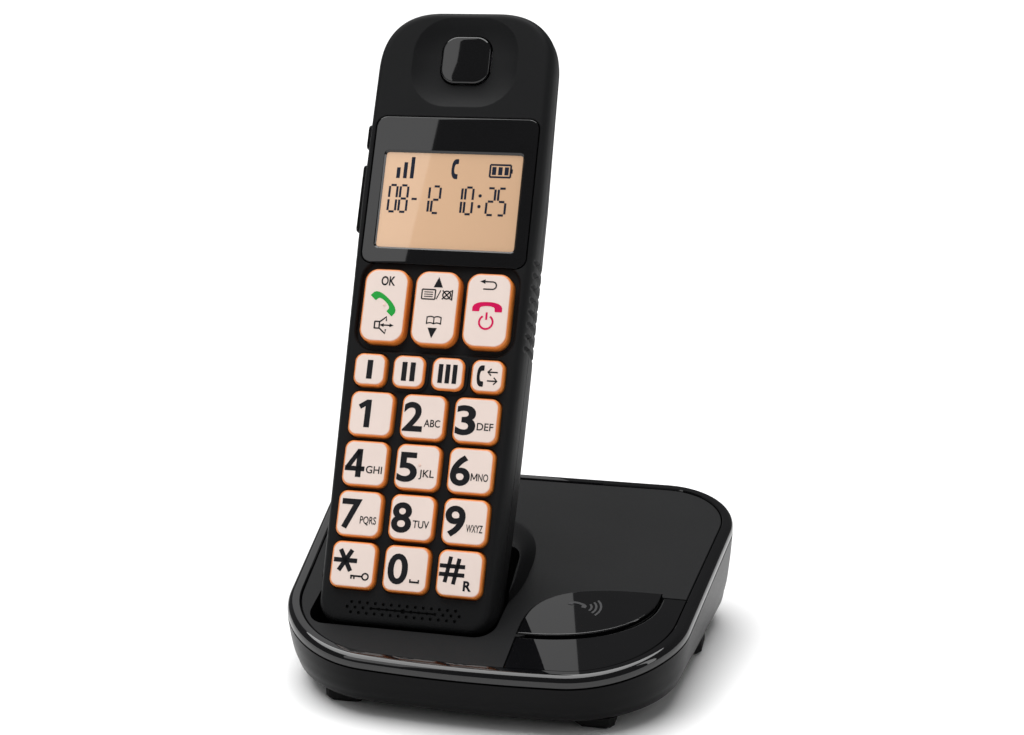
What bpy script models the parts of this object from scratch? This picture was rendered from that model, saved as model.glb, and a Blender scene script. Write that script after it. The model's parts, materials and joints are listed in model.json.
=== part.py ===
"""Cordless telephone: a handset standing in its charging base.

Metres, +Z up, front towards -Y, standing on Z = 0. The base is laid out about its own centre; the handset is
laid out in its own frame (x across, y along its length from the bottom end, z out of the face) and is placed
by an empty. At the end everything is shifted so that the origin is under the middle of the whole model.
"""

import math

import bmesh
import bpy
from mathutils import Matrix, Vector

# Clearances and walls
GAP = 0.0003
WALL = 0.0015
FACE_WALL = 0.0018

# Base, overall
BASE_FRONT_WIDTH = 0.0970
BASE_REAR_WIDTH = 0.1184
BASE_DEPTH = 0.0935
BASE_FRONT_BULGE = 0.0039
BASE_FRONT_CORNER = 0.0268
BASE_REAR_CORNER = 0.0191
RIM_FRONT_Z = 0.0174
RIM_SLOPE = math.radians(9.5)
BASE_FLOOR_Z = 0.0026
BASE_WALL = 0.0018
FRONT_Y = -BASE_DEPTH / 2
REAR_Y = BASE_DEPTH / 2

# Handset, overall: set back from the base's front edge, in from the rim's rounded corner beside its foot, and
# sunk into the sloped deck
HANDSET_LEAN = math.radians(26.6)
HANDSET_SET_BACK = 0.00985
HANDSET_FROM_RIM = 0.026851
HANDSET_SINK = 0.000748
SIDE_SLANT = math.atan2((BASE_REAR_WIDTH - BASE_FRONT_WIDTH) / 2, BASE_DEPTH)
CORNER_INSET = BASE_FRONT_CORNER * (1 - math.sin(SIDE_SLANT)) / math.cos(SIDE_SLANT)
CORNER_REACH = math.sqrt(BASE_FRONT_CORNER**2 - (BASE_FRONT_CORNER - HANDSET_SET_BACK) ** 2)
RIM_AT_FOOT = BASE_FRONT_WIDTH / 2 - CORNER_INSET + CORNER_REACH
HANDSET_SIDE = HANDSET_FROM_RIM - RIM_AT_FOOT
HANDSET_Y = FRONT_Y + HANDSET_SET_BACK
HANDSET_Z = RIM_FRONT_Z + math.tan(RIM_SLOPE) * HANDSET_SET_BACK - HANDSET_SINK
FACE_BOTTOM = 0.0013
FACE_TOP = 0.1664
HALF_BOTTOM = 0.0217
HALF_PANEL = 0.0238
HALF_TOP = 0.0234
PANEL_STATION = 0.115
BOTTOM_CORNER = 0.005
TOP_CORNER = 0.0165
SEAM_DEPTH = 0.007
SIDE_BULGE = 0.0013
# (outline growth, depth behind the face) down the rounded edge of the front cover
FACE_EDGE = ((-0.0008, 0.0), (-0.0001, 0.0004), (0.0007, 0.0018), (0.0012, 0.0040), (SIDE_BULGE, SEAM_DEPTH))
FACE_INSIDE_GROW = -0.0012
# (outline growth, share of the depth) from the seam to the back of the rear cover
REAR_LEVELS = ((SIDE_BULGE, 0.0), (0.0010, 0.35), (0.0002, 0.66), (-0.0012, 0.90), (-0.0034, 1.0))
# (distance up the handset, depth of its back there)
REAR_STATIONS = (
    (0.000, 0.0212),
    (0.030, 0.0240),
    (0.060, 0.0235),
    (0.090, 0.0205),
    (0.120, 0.0160),
    (0.150, 0.0128),
    (0.168, 0.0118),
)
SIDE_STATIONS = (0.020, 0.034, 0.050, 0.070, 0.094, PANEL_STATION, 0.132)

# Keys: caps stand on a silicone mat and pass through the face
KEY_RISE = 0.0016
KEY_FOOT = 0.0030
KEY_BEVEL = 0.0006
KEY_TRAVEL = 0.0008
KEY_STOP_GAP = 0.0001
ROCKER_DEPTH = 0.0020
MAT_TOP = KEY_FOOT + KEY_TRAVEL + KEY_STOP_GAP
MAT_THICKNESS = 0.0010
MAT_WIDTH = 0.0404
MAT_CORNER = 0.0030
MAT_CLEARANCE = 0.0005
BOARD_TOP = MAT_TOP + MAT_THICKNESS + MAT_CLEARANCE
BOARD_THICKNESS = 0.0012
BOARD_WIDTH = 0.0400
BOARD_CORNER = 0.0020
INSIDE_BOTTOM = 0.0080
DIGIT_SIZE = 0.0118
DIGIT_PITCH_X = 0.0140
DIGIT_PITCH_Y = 0.01304
DIGIT_BOTTOM_ROW = 0.0154
QUICK_SIZE = 0.0086
QUICK_PITCH = 0.0105
QUICK_ROW = 0.0662
FUNCTION_WIDTH = 0.0121
FUNCTION_HEIGHT = 0.0198
FUNCTION_PITCH = 0.0139
FUNCTION_ROW = 0.0835
KEY_CORNER = 0.0022
FUNCTION_CORNER = 0.0034
DIGIT_NAMES = ("star", "0", "hash", "7", "8", "9", "4", "5", "6", "1", "2", "3")
QUICK_NAMES = ("memory_1", "memory_2", "memory_3", "redial")
FUNCTION_NAMES = ("talk", "navigator", "off")

# Display
PANEL_HEIGHT = 0.0410
PANEL_TOP = FACE_TOP - 0.0299
PANEL_BOTTOM = PANEL_TOP - PANEL_HEIGHT
PANEL_HALF = 0.0224
PANEL_CORNER = 0.0028
PANEL_THICKNESS = 0.0009
VIEW_CENTRE = PANEL_TOP - 0.0232
VIEW_WIDTH = 0.0386
VIEW_HEIGHT = 0.0274
VIEW_CORNER = 0.0012
LCD_MARGIN = 0.0015
LCD_THICKNESS = 0.0020

# Earpiece, microphone, side keys
EAR_CENTRE = FACE_TOP - 0.0129
EAR_SIZE = 0.0136
EAR_CORNER = 0.0042
EAR_EDGE = 0.0008
EAR_TOP = 0.0007
EAR_THICKNESS = 0.0015
DISH_WIDTH = 0.0300
DISH_HEIGHT = 0.0240
DISH_CORNER = 0.0100
# (share of the outline, height) down the dish round the earpiece
DISH_LEVELS = ((1.0, 0.0002), (0.94, -0.0002), (0.80, -0.0007), (0.62, -0.0009))
SPEAKER_RADIUS = 0.0075
SPEAKER_THICKNESS = 0.0030
SPEAKER_TOP = 0.0026
SPEAKER_MAGNET = 0.0020
MIC_ROW = 0.0050
MIC_SLOT = 0.0166
MIC_SLOT_HEIGHT = 0.0009
SLOT_END = 0.45
MIC_RADIUS = 0.0025
MIC_THICKNESS = 0.0025
SIDE_KEY_DEPTH = 0.0040
SIDE_KEY_WIDTH = 0.0030
SIDE_KEY_RISE = 0.0007
SIDE_KEY_INSET = 0.0020
SIDE_KEY_EDGE = 0.0006
VOLUME_CENTRE = PANEL_TOP - 0.0225
VOLUME_LENGTH = 0.0190
TONE_CENTRE = PANEL_TOP - 0.0050
TONE_LENGTH = 0.0070
SIDE_KEYS = (("volume_key", VOLUME_CENTRE, VOLUME_LENGTH), ("tone_key", TONE_CENTRE, TONE_LENGTH))

# Battery bay, handset contacts, loudspeaker
BAY_BOTTOM = 0.034
BAY_TOP = 0.094
BAY_HALF = 0.0160
CELL_RADIUS = 0.00515
CELL_LENGTH = 0.0440
SPRING_ROOM = 0.0060
CELL_BOTTOM = BAY_BOTTOM + SPRING_ROOM
CELL_CLEARANCE = 0.00085
CELL_DEPTH = BOARD_TOP + BOARD_THICKNESS + CELL_RADIUS + CELL_CLEARANCE
NUB_RADIUS = 0.0018
NUB_LENGTH = 0.0007
CELL_SPACING = 0.0005
SPRING_LENGTH = 0.0030
SPRING_WIDE = 0.0032
SPRING_NARROW = 0.0018
BRIDGE_OVERLAP = 0.0040
BRIDGE_THICKNESS = 0.0005
RINGER_RADIUS = 0.0095
RINGER_THICKNESS = 0.0032
RINGER_CENTRE = 0.1175
RINGER_CLEARANCE = 0.0020
RINGER_DEPTH = BOARD_TOP + BOARD_THICKNESS + RINGER_CLEARANCE
RINGER_FLANGE = 0.0012
RINGER_MAGNET = 0.0030
RINGER_SLOT_WIDTH = 0.0120
RINGER_SLOT_HEIGHT = 0.0016
RINGER_SLOT_PITCH = 0.0034
PAD_SIDE = 0.0080
PAD_DEPTH = 0.0120
PAD_HALF_WIDTH = 0.0030
PAD_HALF_DEPTH = 0.0020
PAD_BELOW = 0.0008
PAD_ABOVE = 0.0010
HANDSET_SCREW_X = 0.0125
HANDSET_SCREW_Y = 0.0190

# Screws
SCREW_HEAD = 0.0022
SCREW_SHANK = 0.0012
SCREW_HEAD_DEPTH = 0.0016
SCREW_LENGTH = 0.0080
HANDSET_SCREW_LENGTH = 0.0060
HANDSET_SCREW_SINK = 0.0030
HANDSET_BOSS_RADIUS = 0.0036
HANDSET_BOSS_HEIGHT = 0.0060

# Cutters run past what they cut by this much
OVERRUN = 0.0030
FAR = 0.0300

# Base, trim band and shell
BAND_HEIGHT = 0.0028
BAND_OUT = 0.0016
BAND_IN = 0.0017
# (outline growth, drop below the rim plane) round the trim band's section
BAND_SECTION = (
    (-BAND_IN, BAND_HEIGHT),
    (BAND_OUT, BAND_HEIGHT),
    (0.0014, 0.0016),
    (0.0006, 0.0005),
    (-0.0002, 0.0),
    (-BAND_IN, 0.0001),
)
# (outline growth, share of the height) from the floor of the bottom shell to its parting line
SHELL_LEVELS = ((-0.0055, 0.0), (-0.0022, 0.10), (-0.0002, 0.32), (0.0010, 0.66), (BAND_OUT, 1.0))
COVER_THICKNESS = 0.0020
COVER_DROP = 0.0003

# Cradle
POCKET_FLOOR_GAP = 0.0007
POCKET_SHIFT = -0.0010
POCKET_HALF_LOW = 0.0244
POCKET_HALF_HIGH = 0.0256
POCKET_FLARE_HEIGHT = 0.018
POCKET_FRONT = 0.0006
POCKET_DEPTH_FROM = 0.0200
POCKET_WALL = 0.0016
POCKET_CORNER = 0.0050
CRADLE_REACH = 0.0700
COLLAR_HEIGHT = 0.0066
COLLAR_REAR = HANDSET_Y + 0.0609
COLLAR_FRONT = 0.0040
COLLAR_SIDE = 0.0018
COLLAR_RUN_UP = 0.0260
COLLAR_ROUNDNESS = 0.75
# (share of the way in from the foot to the crest, share of the height)
COLLAR_LEVELS = ((0.0, 0.0), (0.22, 0.30), (0.50, 0.70), (0.75, 0.93), (1.0, 1.0))
COLLAR_SLOPE_SIDE = 0.0015
COLLAR_SLOPE_REAR = 0.0216

# Corner panel and page button
SEAM_X = BASE_FRONT_WIDTH / 2 - 0.0376
ARC_RIGHT_X = BASE_FRONT_WIDTH / 2 - 0.0039
ARC_FRONT_Y = FRONT_Y + 0.01125
SEAM_REAR_Y = ARC_FRONT_Y + 0.0233
GROOVE = 0.0016
ARC_POWER = 2.2
LEAF_POWER = 3.0
PAGE_THICKNESS = 0.0022
PAGE_TRAVEL = 0.0010
PAGE_STEM = 0.0018

# Inside the base
BASE_BOARD_Z = 0.0060
BASE_BOARD_THICKNESS = 0.0016
SWITCH_X = SEAM_X + 0.0161
SWITCH_Y = ARC_FRONT_Y + 0.0135
SWITCH_SIZE = 0.0060
SWITCH_HEIGHT = 0.0038
PIN_RADIUS = 0.0012
PIN_TOP_GAP = 0.0003
PIN_LENGTH = 0.0058
PIN_TIP = 0.0005
PIN_TIP_RADIUS = 0.0007
HOLDER_HALF_X = 0.0115
HOLDER_HALF_DEPTH = 0.0032
HOLDER_HEIGHT = 0.0036
JACK_FACE_Y = REAR_Y - 0.00155
JACK_REAR_WALL = 0.0020
LINE_JACK_X = -0.0100
LINE_JACK_WIDTH = 0.0125
LINE_JACK_HEIGHT = 0.0110
LINE_SOCKET_WIDTH = 0.0098
LINE_SOCKET_HEIGHT = 0.0070
LINE_JACK_DEPTH = 0.0150
DC_JACK_X = 0.0140
DC_JACK_SIZE = 0.0090
DC_JACK_DEPTH = 0.0120
DC_BORE = 0.0030
DC_PIN = 0.0010
DC_PIN_LENGTH = 0.0085
MAIN_BOARD = (SWITCH_X - 0.0165, SWITCH_Y - 0.0125, SWITCH_X + 0.0090, SWITCH_Y + 0.0250)
JACK_BOARD = (-0.0200, JACK_FACE_Y - 0.0252, 0.0250, JACK_FACE_Y - 0.0052)
SCREW_SIDE = 0.0360
BASE_SCREWS = ((-SCREW_SIDE, REAR_Y - 0.02675), (SCREW_SIDE, REAR_Y - 0.02675))
BOSS_RADIUS = 0.0040
BOSS_TOP = 0.0100
BOSS_SEAT = 0.0030
POST_RADIUS = 0.0032
FRONT_FOOT_X = BASE_FRONT_WIDTH / 2 - 0.0165
REAR_FOOT_X = BASE_FRONT_WIDTH / 2 - 0.0005
FRONT_FOOT_Y = FRONT_Y + 0.00875
REAR_FOOT_Y = FRONT_Y + 0.05575
FEET = (
    (-FRONT_FOOT_X, FRONT_FOOT_Y),
    (FRONT_FOOT_X, FRONT_FOOT_Y),
    (-REAR_FOOT_X, REAR_FOOT_Y),
    (REAR_FOOT_X, REAR_FOOT_Y),
)
FOOT_SIZE = 0.0100
FOOT_CORNER = 0.0012
FOOT_TAPER = 0.78
FOOT_TAPER_HEIGHT = 0.0012
FOOT_TOP = 0.0065

# Colours (linear RGB), roughness, metallic
FINISHES = {
    "matte_black": ((0.012, 0.012, 0.013), 0.55, 0.0),
    "gloss_black": ((0.004, 0.004, 0.005), 0.06, 0.0),
    "satin_black": ((0.008, 0.008, 0.009), 0.30, 0.0),
    "key_peach": ((0.80, 0.62, 0.54), 0.35, 0.0),
    "lcd_amber": ((0.73, 0.45, 0.25), 0.40, 0.0),
    "silicone": ((0.55, 0.22, 0.06), 0.60, 0.0),
    "board_green": ((0.01, 0.10, 0.03), 0.45, 0.0),
    "rubber": ((0.010, 0.010, 0.010), 0.85, 0.0),
    "steel": ((0.55, 0.55, 0.55), 0.30, 1.0),
    "nickel": ((0.72, 0.66, 0.50), 0.22, 1.0),
    "cell_wrap": ((0.03, 0.20, 0.10), 0.35, 0.0),
}


# ---------------------------------------------------------------- helpers


def clear_scene():
    for old in list(bpy.data.objects):
        bpy.data.objects.remove(old, do_unlink=True)


def finish(name):
    material = bpy.data.materials.get(name) or bpy.data.materials.new(name)
    material.use_nodes = True
    colour, roughness, metallic = FINISHES[name]
    shader = material.node_tree.nodes["Principled BSDF"]
    shader.inputs["Base Color"].default_value = (*colour, 1.0)
    shader.inputs["Roughness"].default_value = roughness
    shader.inputs["Metallic"].default_value = metallic
    return material


def frame_empty(name, location, tilt=0.0):
    empty = bpy.data.objects.new(name, None)
    bpy.context.collection.objects.link(empty)
    empty.location = location
    empty.rotation_euler = (tilt, 0.0, 0.0)
    return empty


def new_object(name, bm, parent, finish_name=None, origin=(0, 0, 0), smooth=True):
    """Turns a bmesh into an object whose own origin is at the given point of its parent's frame."""
    bmesh.ops.translate(bm, verts=bm.verts, vec=-Vector(origin))
    bmesh.ops.recalc_face_normals(bm, faces=bm.faces)
    mesh = bpy.data.meshes.new(name)
    bm.to_mesh(mesh)
    bm.free()
    if smooth:
        mesh.shade_smooth()
        mesh.set_sharp_from_angle(angle=math.radians(35))
    obj = bpy.data.objects.new(name, mesh)
    bpy.context.collection.objects.link(obj)
    obj.parent = parent
    obj.location = origin
    if finish_name:
        mesh.materials.append(finish(finish_name))
    return obj


def stack(rings, bm=None):
    """Closes a stack of equal rings into a body: quads between neighbours and a flat cap at each end."""
    bm = bm or bmesh.new()
    loops = [[bm.verts.new(point) for point in ring] for ring in rings]
    for low, high in zip(loops, loops[1:]):
        for i in range(len(low)):
            j = (i + 1) % len(low)
            bm.faces.new((low[i], low[j], high[j], high[i]))
    bm.faces.new(loops[0])
    bm.faces.new(loops[-1])
    return bm


def stack_symmetric(rings):
    """As stack, but each cap is a ladder of quads from side to side, so it may bend along its length.

    A ring runs up the right side and down the left side, with the same points on both.
    """
    bm = bmesh.new()
    loops = [[bm.verts.new(point) for point in ring] for ring in rings]
    for low, high in zip(loops, loops[1:]):
        for i in range(len(low)):
            j = (i + 1) % len(low)
            bm.faces.new((low[i], low[j], high[j], high[i]))
    for loop in (loops[0], loops[-1]):
        count = len(loop)
        for i in range(count // 2 - 1):
            bm.faces.new((loop[i], loop[i + 1], loop[count - 2 - i], loop[count - 1 - i]))
    return bm


def carve(obj, cutter, operation="DIFFERENCE"):
    cutter.hide_render = True
    cutter.display_type = "WIRE"
    modifier = obj.modifiers.new(cutter.name, "BOOLEAN")
    modifier.operation = operation
    modifier.object = cutter
    modifier.solver = "EXACT"


def arc(cx, cy, radius, start, end, steps):
    """Points along a circle from one angle to another, in degrees, both ends included."""
    turns = [math.radians(start + (end - start) * i / steps) for i in range(steps + 1)]
    return [(cx + radius * math.cos(a), cy + radius * math.sin(a)) for a in turns]


def rounded_rectangle(width, height, corner, cx=0.0, cy=0.0, steps=3):
    x = width / 2 - corner
    y = height / 2 - corner
    points = arc(cx + x, cy - y, corner, -90, 0, steps)
    points += arc(cx + x, cy + y, corner, 0, 90, steps)
    points += arc(cx - x, cy + y, corner, 90, 180, steps)
    points += arc(cx - x, cy - y, corner, 180, 270, steps)
    return points


def flat(points, z):
    return [(x, y, z) for x, y in points]


def prism(points, low, high, bm=None):
    return stack([flat(points, low), flat(points, high)], bm)


def block(x0, y0, z0, x1, y1, z1, bm=None):
    return prism([(x0, y0), (x1, y0), (x1, y1), (x0, y1)], z0, z1, bm)


def disc(cx, cy, radius, low, high, bm=None, steps=20):
    return prism(arc(cx, cy, radius, 0, 360 - 360 / steps, steps - 1), low, high, bm)


def along_y(bm, centre=(0, 0, 0)):
    """Turns a body made along Z so that it lies along Y, then moves it."""
    bmesh.ops.transform(bm, matrix=Matrix.Rotation(math.radians(-90), 4, "X"), verts=bm.verts)
    bmesh.ops.translate(bm, verts=bm.verts, vec=Vector(centre))
    return bm


def turned(profile, cx, cy, steps=16):
    """A body turned about a vertical axis from a list of (radius, height), both ends capped."""
    return stack([flat(arc(cx, cy, r, 0, 360 - 360 / steps, steps - 1), z) for r, z in profile])


# ---------------------------------------------------------------- handset shape


def rear_depth(y):
    """How far the back of the handset lies behind its face, eased between the stations."""
    for (y0, d0), (y1, d1) in zip(REAR_STATIONS, REAR_STATIONS[1:]):
        if y <= y1:
            return d0 + (d1 - d0) * max(0.0, y - y0) / (y1 - y0)
    return REAR_STATIONS[-1][1]


def half_width(y):
    if y < PANEL_STATION:
        return HALF_BOTTOM + (HALF_PANEL - HALF_BOTTOM) * y / PANEL_STATION
    return HALF_PANEL + (HALF_TOP - HALF_PANEL) * (y - PANEL_STATION) / (FACE_TOP - PANEL_STATION)


def handset_ring(grow, depth_of):
    """The handset's outline grown by a distance, each point pushed back by depth_of(y)."""
    low = BOTTOM_CORNER + grow
    top = TOP_CORNER + grow
    y0 = FACE_BOTTOM - grow
    y1 = FACE_TOP + grow
    right = arc(half_width(y0 + low) + grow - low, y0 + low, low, -90, 0, 4)
    for y in SIDE_STATIONS:
        right.append((half_width(y) + grow, y))
    right += arc(half_width(y1 - top) + grow - top, y1 - top, top, 0, 90, 6)
    left = [(-x, y) for x, y in reversed(right)]
    return [(x, y, -depth_of(y)) for x, y in right + left]


def keys():
    """Every key cap as (name, x, y, width, height, corner)."""
    found = []
    for number, name in enumerate(DIGIT_NAMES):
        row, column = divmod(number, 3)
        x = (column - 1) * DIGIT_PITCH_X
        y = DIGIT_BOTTOM_ROW + row * DIGIT_PITCH_Y
        found.append((f"key_{name}", x, y, DIGIT_SIZE, DIGIT_SIZE, KEY_CORNER))
    for number, name in enumerate(QUICK_NAMES):
        x = (number - (len(QUICK_NAMES) - 1) / 2) * QUICK_PITCH
        found.append((f"key_{name}", x, QUICK_ROW, QUICK_SIZE, QUICK_SIZE, KEY_CORNER))
    for number, name in enumerate(FUNCTION_NAMES):
        x = (number - 1) * FUNCTION_PITCH
        found.append((f"key_{name}", x, FUNCTION_ROW, FUNCTION_WIDTH, FUNCTION_HEIGHT, FUNCTION_CORNER))
    return found


def make_front_cover(frame):
    rings = [handset_ring(grow, lambda y, d=depth: d) for grow, depth in FACE_EDGE]
    rings.append(handset_ring(SIDE_BULGE - WALL, lambda y: SEAM_DEPTH))
    rings.append(handset_ring(FACE_INSIDE_GROW, lambda y: FACE_WALL))
    cover = new_object("handset_front_cover", stack_symmetric(rings), frame, "matte_black")

    low = -FACE_WALL - OVERRUN
    holes = bmesh.new()
    for _, x, y, width, height, corner in keys():
        outline = rounded_rectangle(width + 2 * GAP, height + 2 * GAP, corner + GAP, x, y)
        prism(outline, low, OVERRUN, holes)
    view = rounded_rectangle(VIEW_WIDTH, VIEW_HEIGHT, VIEW_CORNER, 0.0, VIEW_CENTRE)
    prism(view, low, -PANEL_THICKNESS - GAP / 2, holes)
    ear = rounded_rectangle(EAR_SIZE + 2 * GAP, EAR_SIZE + 2 * GAP, EAR_CORNER, 0.0, EAR_CENTRE)
    prism(ear, low, OVERRUN, holes)
    slot = rounded_rectangle(MIC_SLOT, MIC_SLOT_HEIGHT, MIC_SLOT_HEIGHT * SLOT_END, 0.0, MIC_ROW, steps=2)
    prism(slot, low, OVERRUN, holes)
    for _, centre, length in SIDE_KEYS:
        y0 = centre - length / 2 - GAP
        y1 = centre + length / 2 + GAP
        z0 = -SIDE_KEY_DEPTH - SIDE_KEY_WIDTH / 2 - GAP
        inner = half_width(centre) - SIDE_KEY_INSET - GAP
        block(-FAR, y0, z0, -inner, y1, z0 + SIDE_KEY_WIDTH + 2 * GAP, holes)
    carve(cover, new_object("face_hole_cutter", holes, frame))

    recess = bmesh.new()
    middle = (PANEL_BOTTOM + PANEL_TOP) / 2
    outline = rounded_rectangle(
        2 * (PANEL_HALF + GAP), PANEL_TOP - PANEL_BOTTOM + 2 * GAP, PANEL_CORNER + GAP, 0.0, middle
    )
    prism(outline, -PANEL_THICKNESS - GAP, OVERRUN, recess)
    carve(cover, new_object("display_recess_cutter", recess, frame))

    rings = []
    for share, z in DISH_LEVELS:
        outline = rounded_rectangle(
            DISH_WIDTH * share, DISH_HEIGHT * share, DISH_CORNER * share, 0.0, EAR_CENTRE, 4
        )
        rings.append(flat(outline, z))
    carve(cover, new_object("ear_dish_cutter", stack(rings), frame))
    return cover


def rear_level(grow, share, skin):
    """A ring of the rear cover: share 0 at the seam and 1 at the back, skin in from the outside."""
    start = SEAM_DEPTH + GAP
    return handset_ring(grow - skin, lambda y: start + (rear_depth(y) - skin - start) * share)


def make_rear_cover(frame):
    rings = [rear_level(grow, share, 0.0) for grow, share in reversed(REAR_LEVELS)]
    rings += [rear_level(grow, share, WALL) for grow, share in REAR_LEVELS]
    cover = new_object("handset_rear_cover", stack_symmetric(rings), frame, "matte_black")

    bosses = bmesh.new()
    back = rear_depth(HANDSET_SCREW_Y)
    top = -back + HANDSET_BOSS_HEIGHT
    for side in (-1, 1):
        x = side * HANDSET_SCREW_X
        disc(x, HANDSET_SCREW_Y, HANDSET_BOSS_RADIUS, -back + WALL / 2, top, bosses)
    carve(cover, new_object("rear_boss", bosses, frame), "UNION")

    cuts = bmesh.new()
    bay_roof = -rear_depth(BAY_TOP) + OVERRUN
    block(-BAY_HALF - GAP, BAY_BOTTOM - GAP, -FAR, BAY_HALF + GAP, BAY_TOP + GAP, bay_roof, cuts)
    for side in (-1, 1):
        x = side * HANDSET_SCREW_X
        disc(x, HANDSET_SCREW_Y, SCREW_HEAD + GAP, -FAR, -back + HANDSET_SCREW_SINK, cuts)
        pad = side * PAD_SIDE
        block(
            pad - PAD_HALF_WIDTH - GAP, -OVERRUN, -PAD_DEPTH - PAD_HALF_DEPTH - GAP,
            pad + PAD_HALF_WIDTH + GAP, FACE_BOTTOM + OVERRUN, -PAD_DEPTH + PAD_HALF_DEPTH + GAP, cuts,
        )
    grille = rounded_rectangle(
        RINGER_SLOT_WIDTH, RINGER_SLOT_HEIGHT, RINGER_SLOT_HEIGHT * SLOT_END, 0.0, RINGER_CENTRE, steps=2
    )
    for row in (-1, 0, 1):
        slot = [(x, y + row * RINGER_SLOT_PITCH) for x, y in grille]
        prism(slot, -FAR, -RINGER_DEPTH - RINGER_THICKNESS, cuts)
    carve(cover, new_object("rear_cutter", cuts, frame))

    shanks = bmesh.new()
    for side in (-1, 1):
        x = side * HANDSET_SCREW_X
        disc(x, HANDSET_SCREW_Y, SCREW_SHANK + GAP, -back + WALL / 2, top + OVERRUN, shanks)
    carve(cover, new_object("rear_shank_cutter", shanks, frame))
    return cover


def make_battery_cover(frame):
    """A plate that follows the handset's back, one skin thick."""
    steps = 8
    stations = [BAY_BOTTOM + (BAY_TOP - BAY_BOTTOM) * i / steps for i in range(steps + 1)]
    stations = sorted(set(stations) | {y for y, _ in REAR_STATIONS if BAY_BOTTOM < y < BAY_TOP})
    profile = [(y, -rear_depth(y)) for y in stations]
    profile += [(y, -rear_depth(y) + WALL) for y in reversed(stations)]
    rings = [[(x, y, z) for y, z in profile] for x in (-BAY_HALF, BAY_HALF)]
    return new_object("battery_cover", stack(rings), frame, "matte_black", origin=(0, BAY_BOTTOM, 0))


def make_key_caps(frame):
    for name, x, y, width, height, corner in keys():
        base = rounded_rectangle(width, height, corner, x, y)
        top = rounded_rectangle(width - 2 * KEY_BEVEL, height - 2 * KEY_BEVEL, corner - KEY_BEVEL / 2, x, y)
        rings = [flat(base, -KEY_FOOT), flat(base, KEY_RISE - KEY_BEVEL), flat(top, KEY_RISE)]
        depth = -ROCKER_DEPTH if name == "key_navigator" else -KEY_FOOT
        new_object(name, stack(rings), frame, "key_peach", origin=(x, y, depth))


def make_side_keys(frame):
    for name, centre, length in SIDE_KEYS:
        outer = half_width(centre) + SIDE_BULGE + SIDE_KEY_RISE
        inner = half_width(centre) - SIDE_KEY_INSET
        z0 = -SIDE_KEY_DEPTH - SIDE_KEY_WIDTH / 2
        y0 = centre - length / 2
        y1 = centre + length / 2
        shoulder = outer - SIDE_KEY_EDGE
        outline = [
            (-inner, y0), (-inner, y1), (-shoulder, y1),
            (-outer, y1 - SIDE_KEY_EDGE), (-outer, y0 + SIDE_KEY_EDGE), (-shoulder, y0),
        ]
        body = prism(outline, z0, z0 + SIDE_KEY_WIDTH)
        new_object(name, body, frame, "satin_black", origin=(-inner, centre, -SIDE_KEY_DEPTH))


def make_boards(frame):
    top = FUNCTION_ROW + FUNCTION_HEIGHT / 2
    mat = rounded_rectangle(MAT_WIDTH, top - INSIDE_BOTTOM, MAT_CORNER, 0.0, (top + INSIDE_BOTTOM) / 2)
    new_object("keypad_mat", prism(mat, -MAT_TOP - MAT_THICKNESS, -MAT_TOP), frame, "silicone")
    top = EAR_CENTRE - SPEAKER_RADIUS - WALL
    middle = (top + INSIDE_BOTTOM) / 2
    board = rounded_rectangle(BOARD_WIDTH, top - INSIDE_BOTTOM, BOARD_CORNER, 0.0, middle)
    body = prism(board, -BOARD_TOP - BOARD_THICKNESS, -BOARD_TOP)
    new_object("handset_board", body, frame, "board_green")


def make_display(frame):
    width = VIEW_WIDTH + 2 * LCD_MARGIN
    height = VIEW_HEIGHT + 2 * LCD_MARGIN
    lcd = rounded_rectangle(width, height, VIEW_CORNER, 0.0, VIEW_CENTRE, steps=1)
    top = -FACE_WALL - GAP
    new_object("lcd_panel", prism(lcd, top - LCD_THICKNESS, top), frame, "lcd_amber")
    middle = (PANEL_BOTTOM + PANEL_TOP) / 2
    window = rounded_rectangle(2 * PANEL_HALF, PANEL_TOP - PANEL_BOTTOM, PANEL_CORNER, 0.0, middle)
    new_object("display_window", prism(window, -PANEL_THICKNESS, 0.0), frame, "gloss_black")


def make_sound_parts(frame):
    wide = rounded_rectangle(EAR_SIZE, EAR_SIZE, EAR_CORNER, 0.0, EAR_CENTRE, 4)
    size = EAR_SIZE - 2 * EAR_EDGE
    narrow = rounded_rectangle(size, size, EAR_CORNER - EAR_EDGE / 2, 0.0, EAR_CENTRE, 4)
    rings = [flat(wide, -EAR_TOP - EAR_THICKNESS), flat(wide, -EAR_TOP - EAR_EDGE / 2)]
    rings.append(flat(narrow, -EAR_TOP))
    new_object("earpiece_insert", stack(rings), frame, "gloss_black")

    low = -SPEAKER_TOP - SPEAKER_THICKNESS
    profile = [(SPEAKER_RADIUS - SPEAKER_MAGNET, low), (SPEAKER_RADIUS, low + SPEAKER_THICKNESS / 3)]
    profile.append((SPEAKER_RADIUS, -SPEAKER_TOP))
    new_object("ear_speaker", turned(profile, 0.0, EAR_CENTRE), frame, "steel")

    low = -RINGER_DEPTH - RINGER_THICKNESS
    profile = [(RINGER_RADIUS, low), (RINGER_RADIUS, low + RINGER_FLANGE)]
    profile.append((RINGER_RADIUS - RINGER_MAGNET, -RINGER_DEPTH))
    new_object("loudspeaker", turned(profile, 0.0, RINGER_CENTRE, 20), frame, "steel")

    top = -FACE_WALL - GAP
    capsule = disc(0.0, MIC_ROW, MIC_RADIUS, top - MIC_THICKNESS, top, steps=14)
    new_object("microphone", capsule, frame, "nickel")


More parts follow.
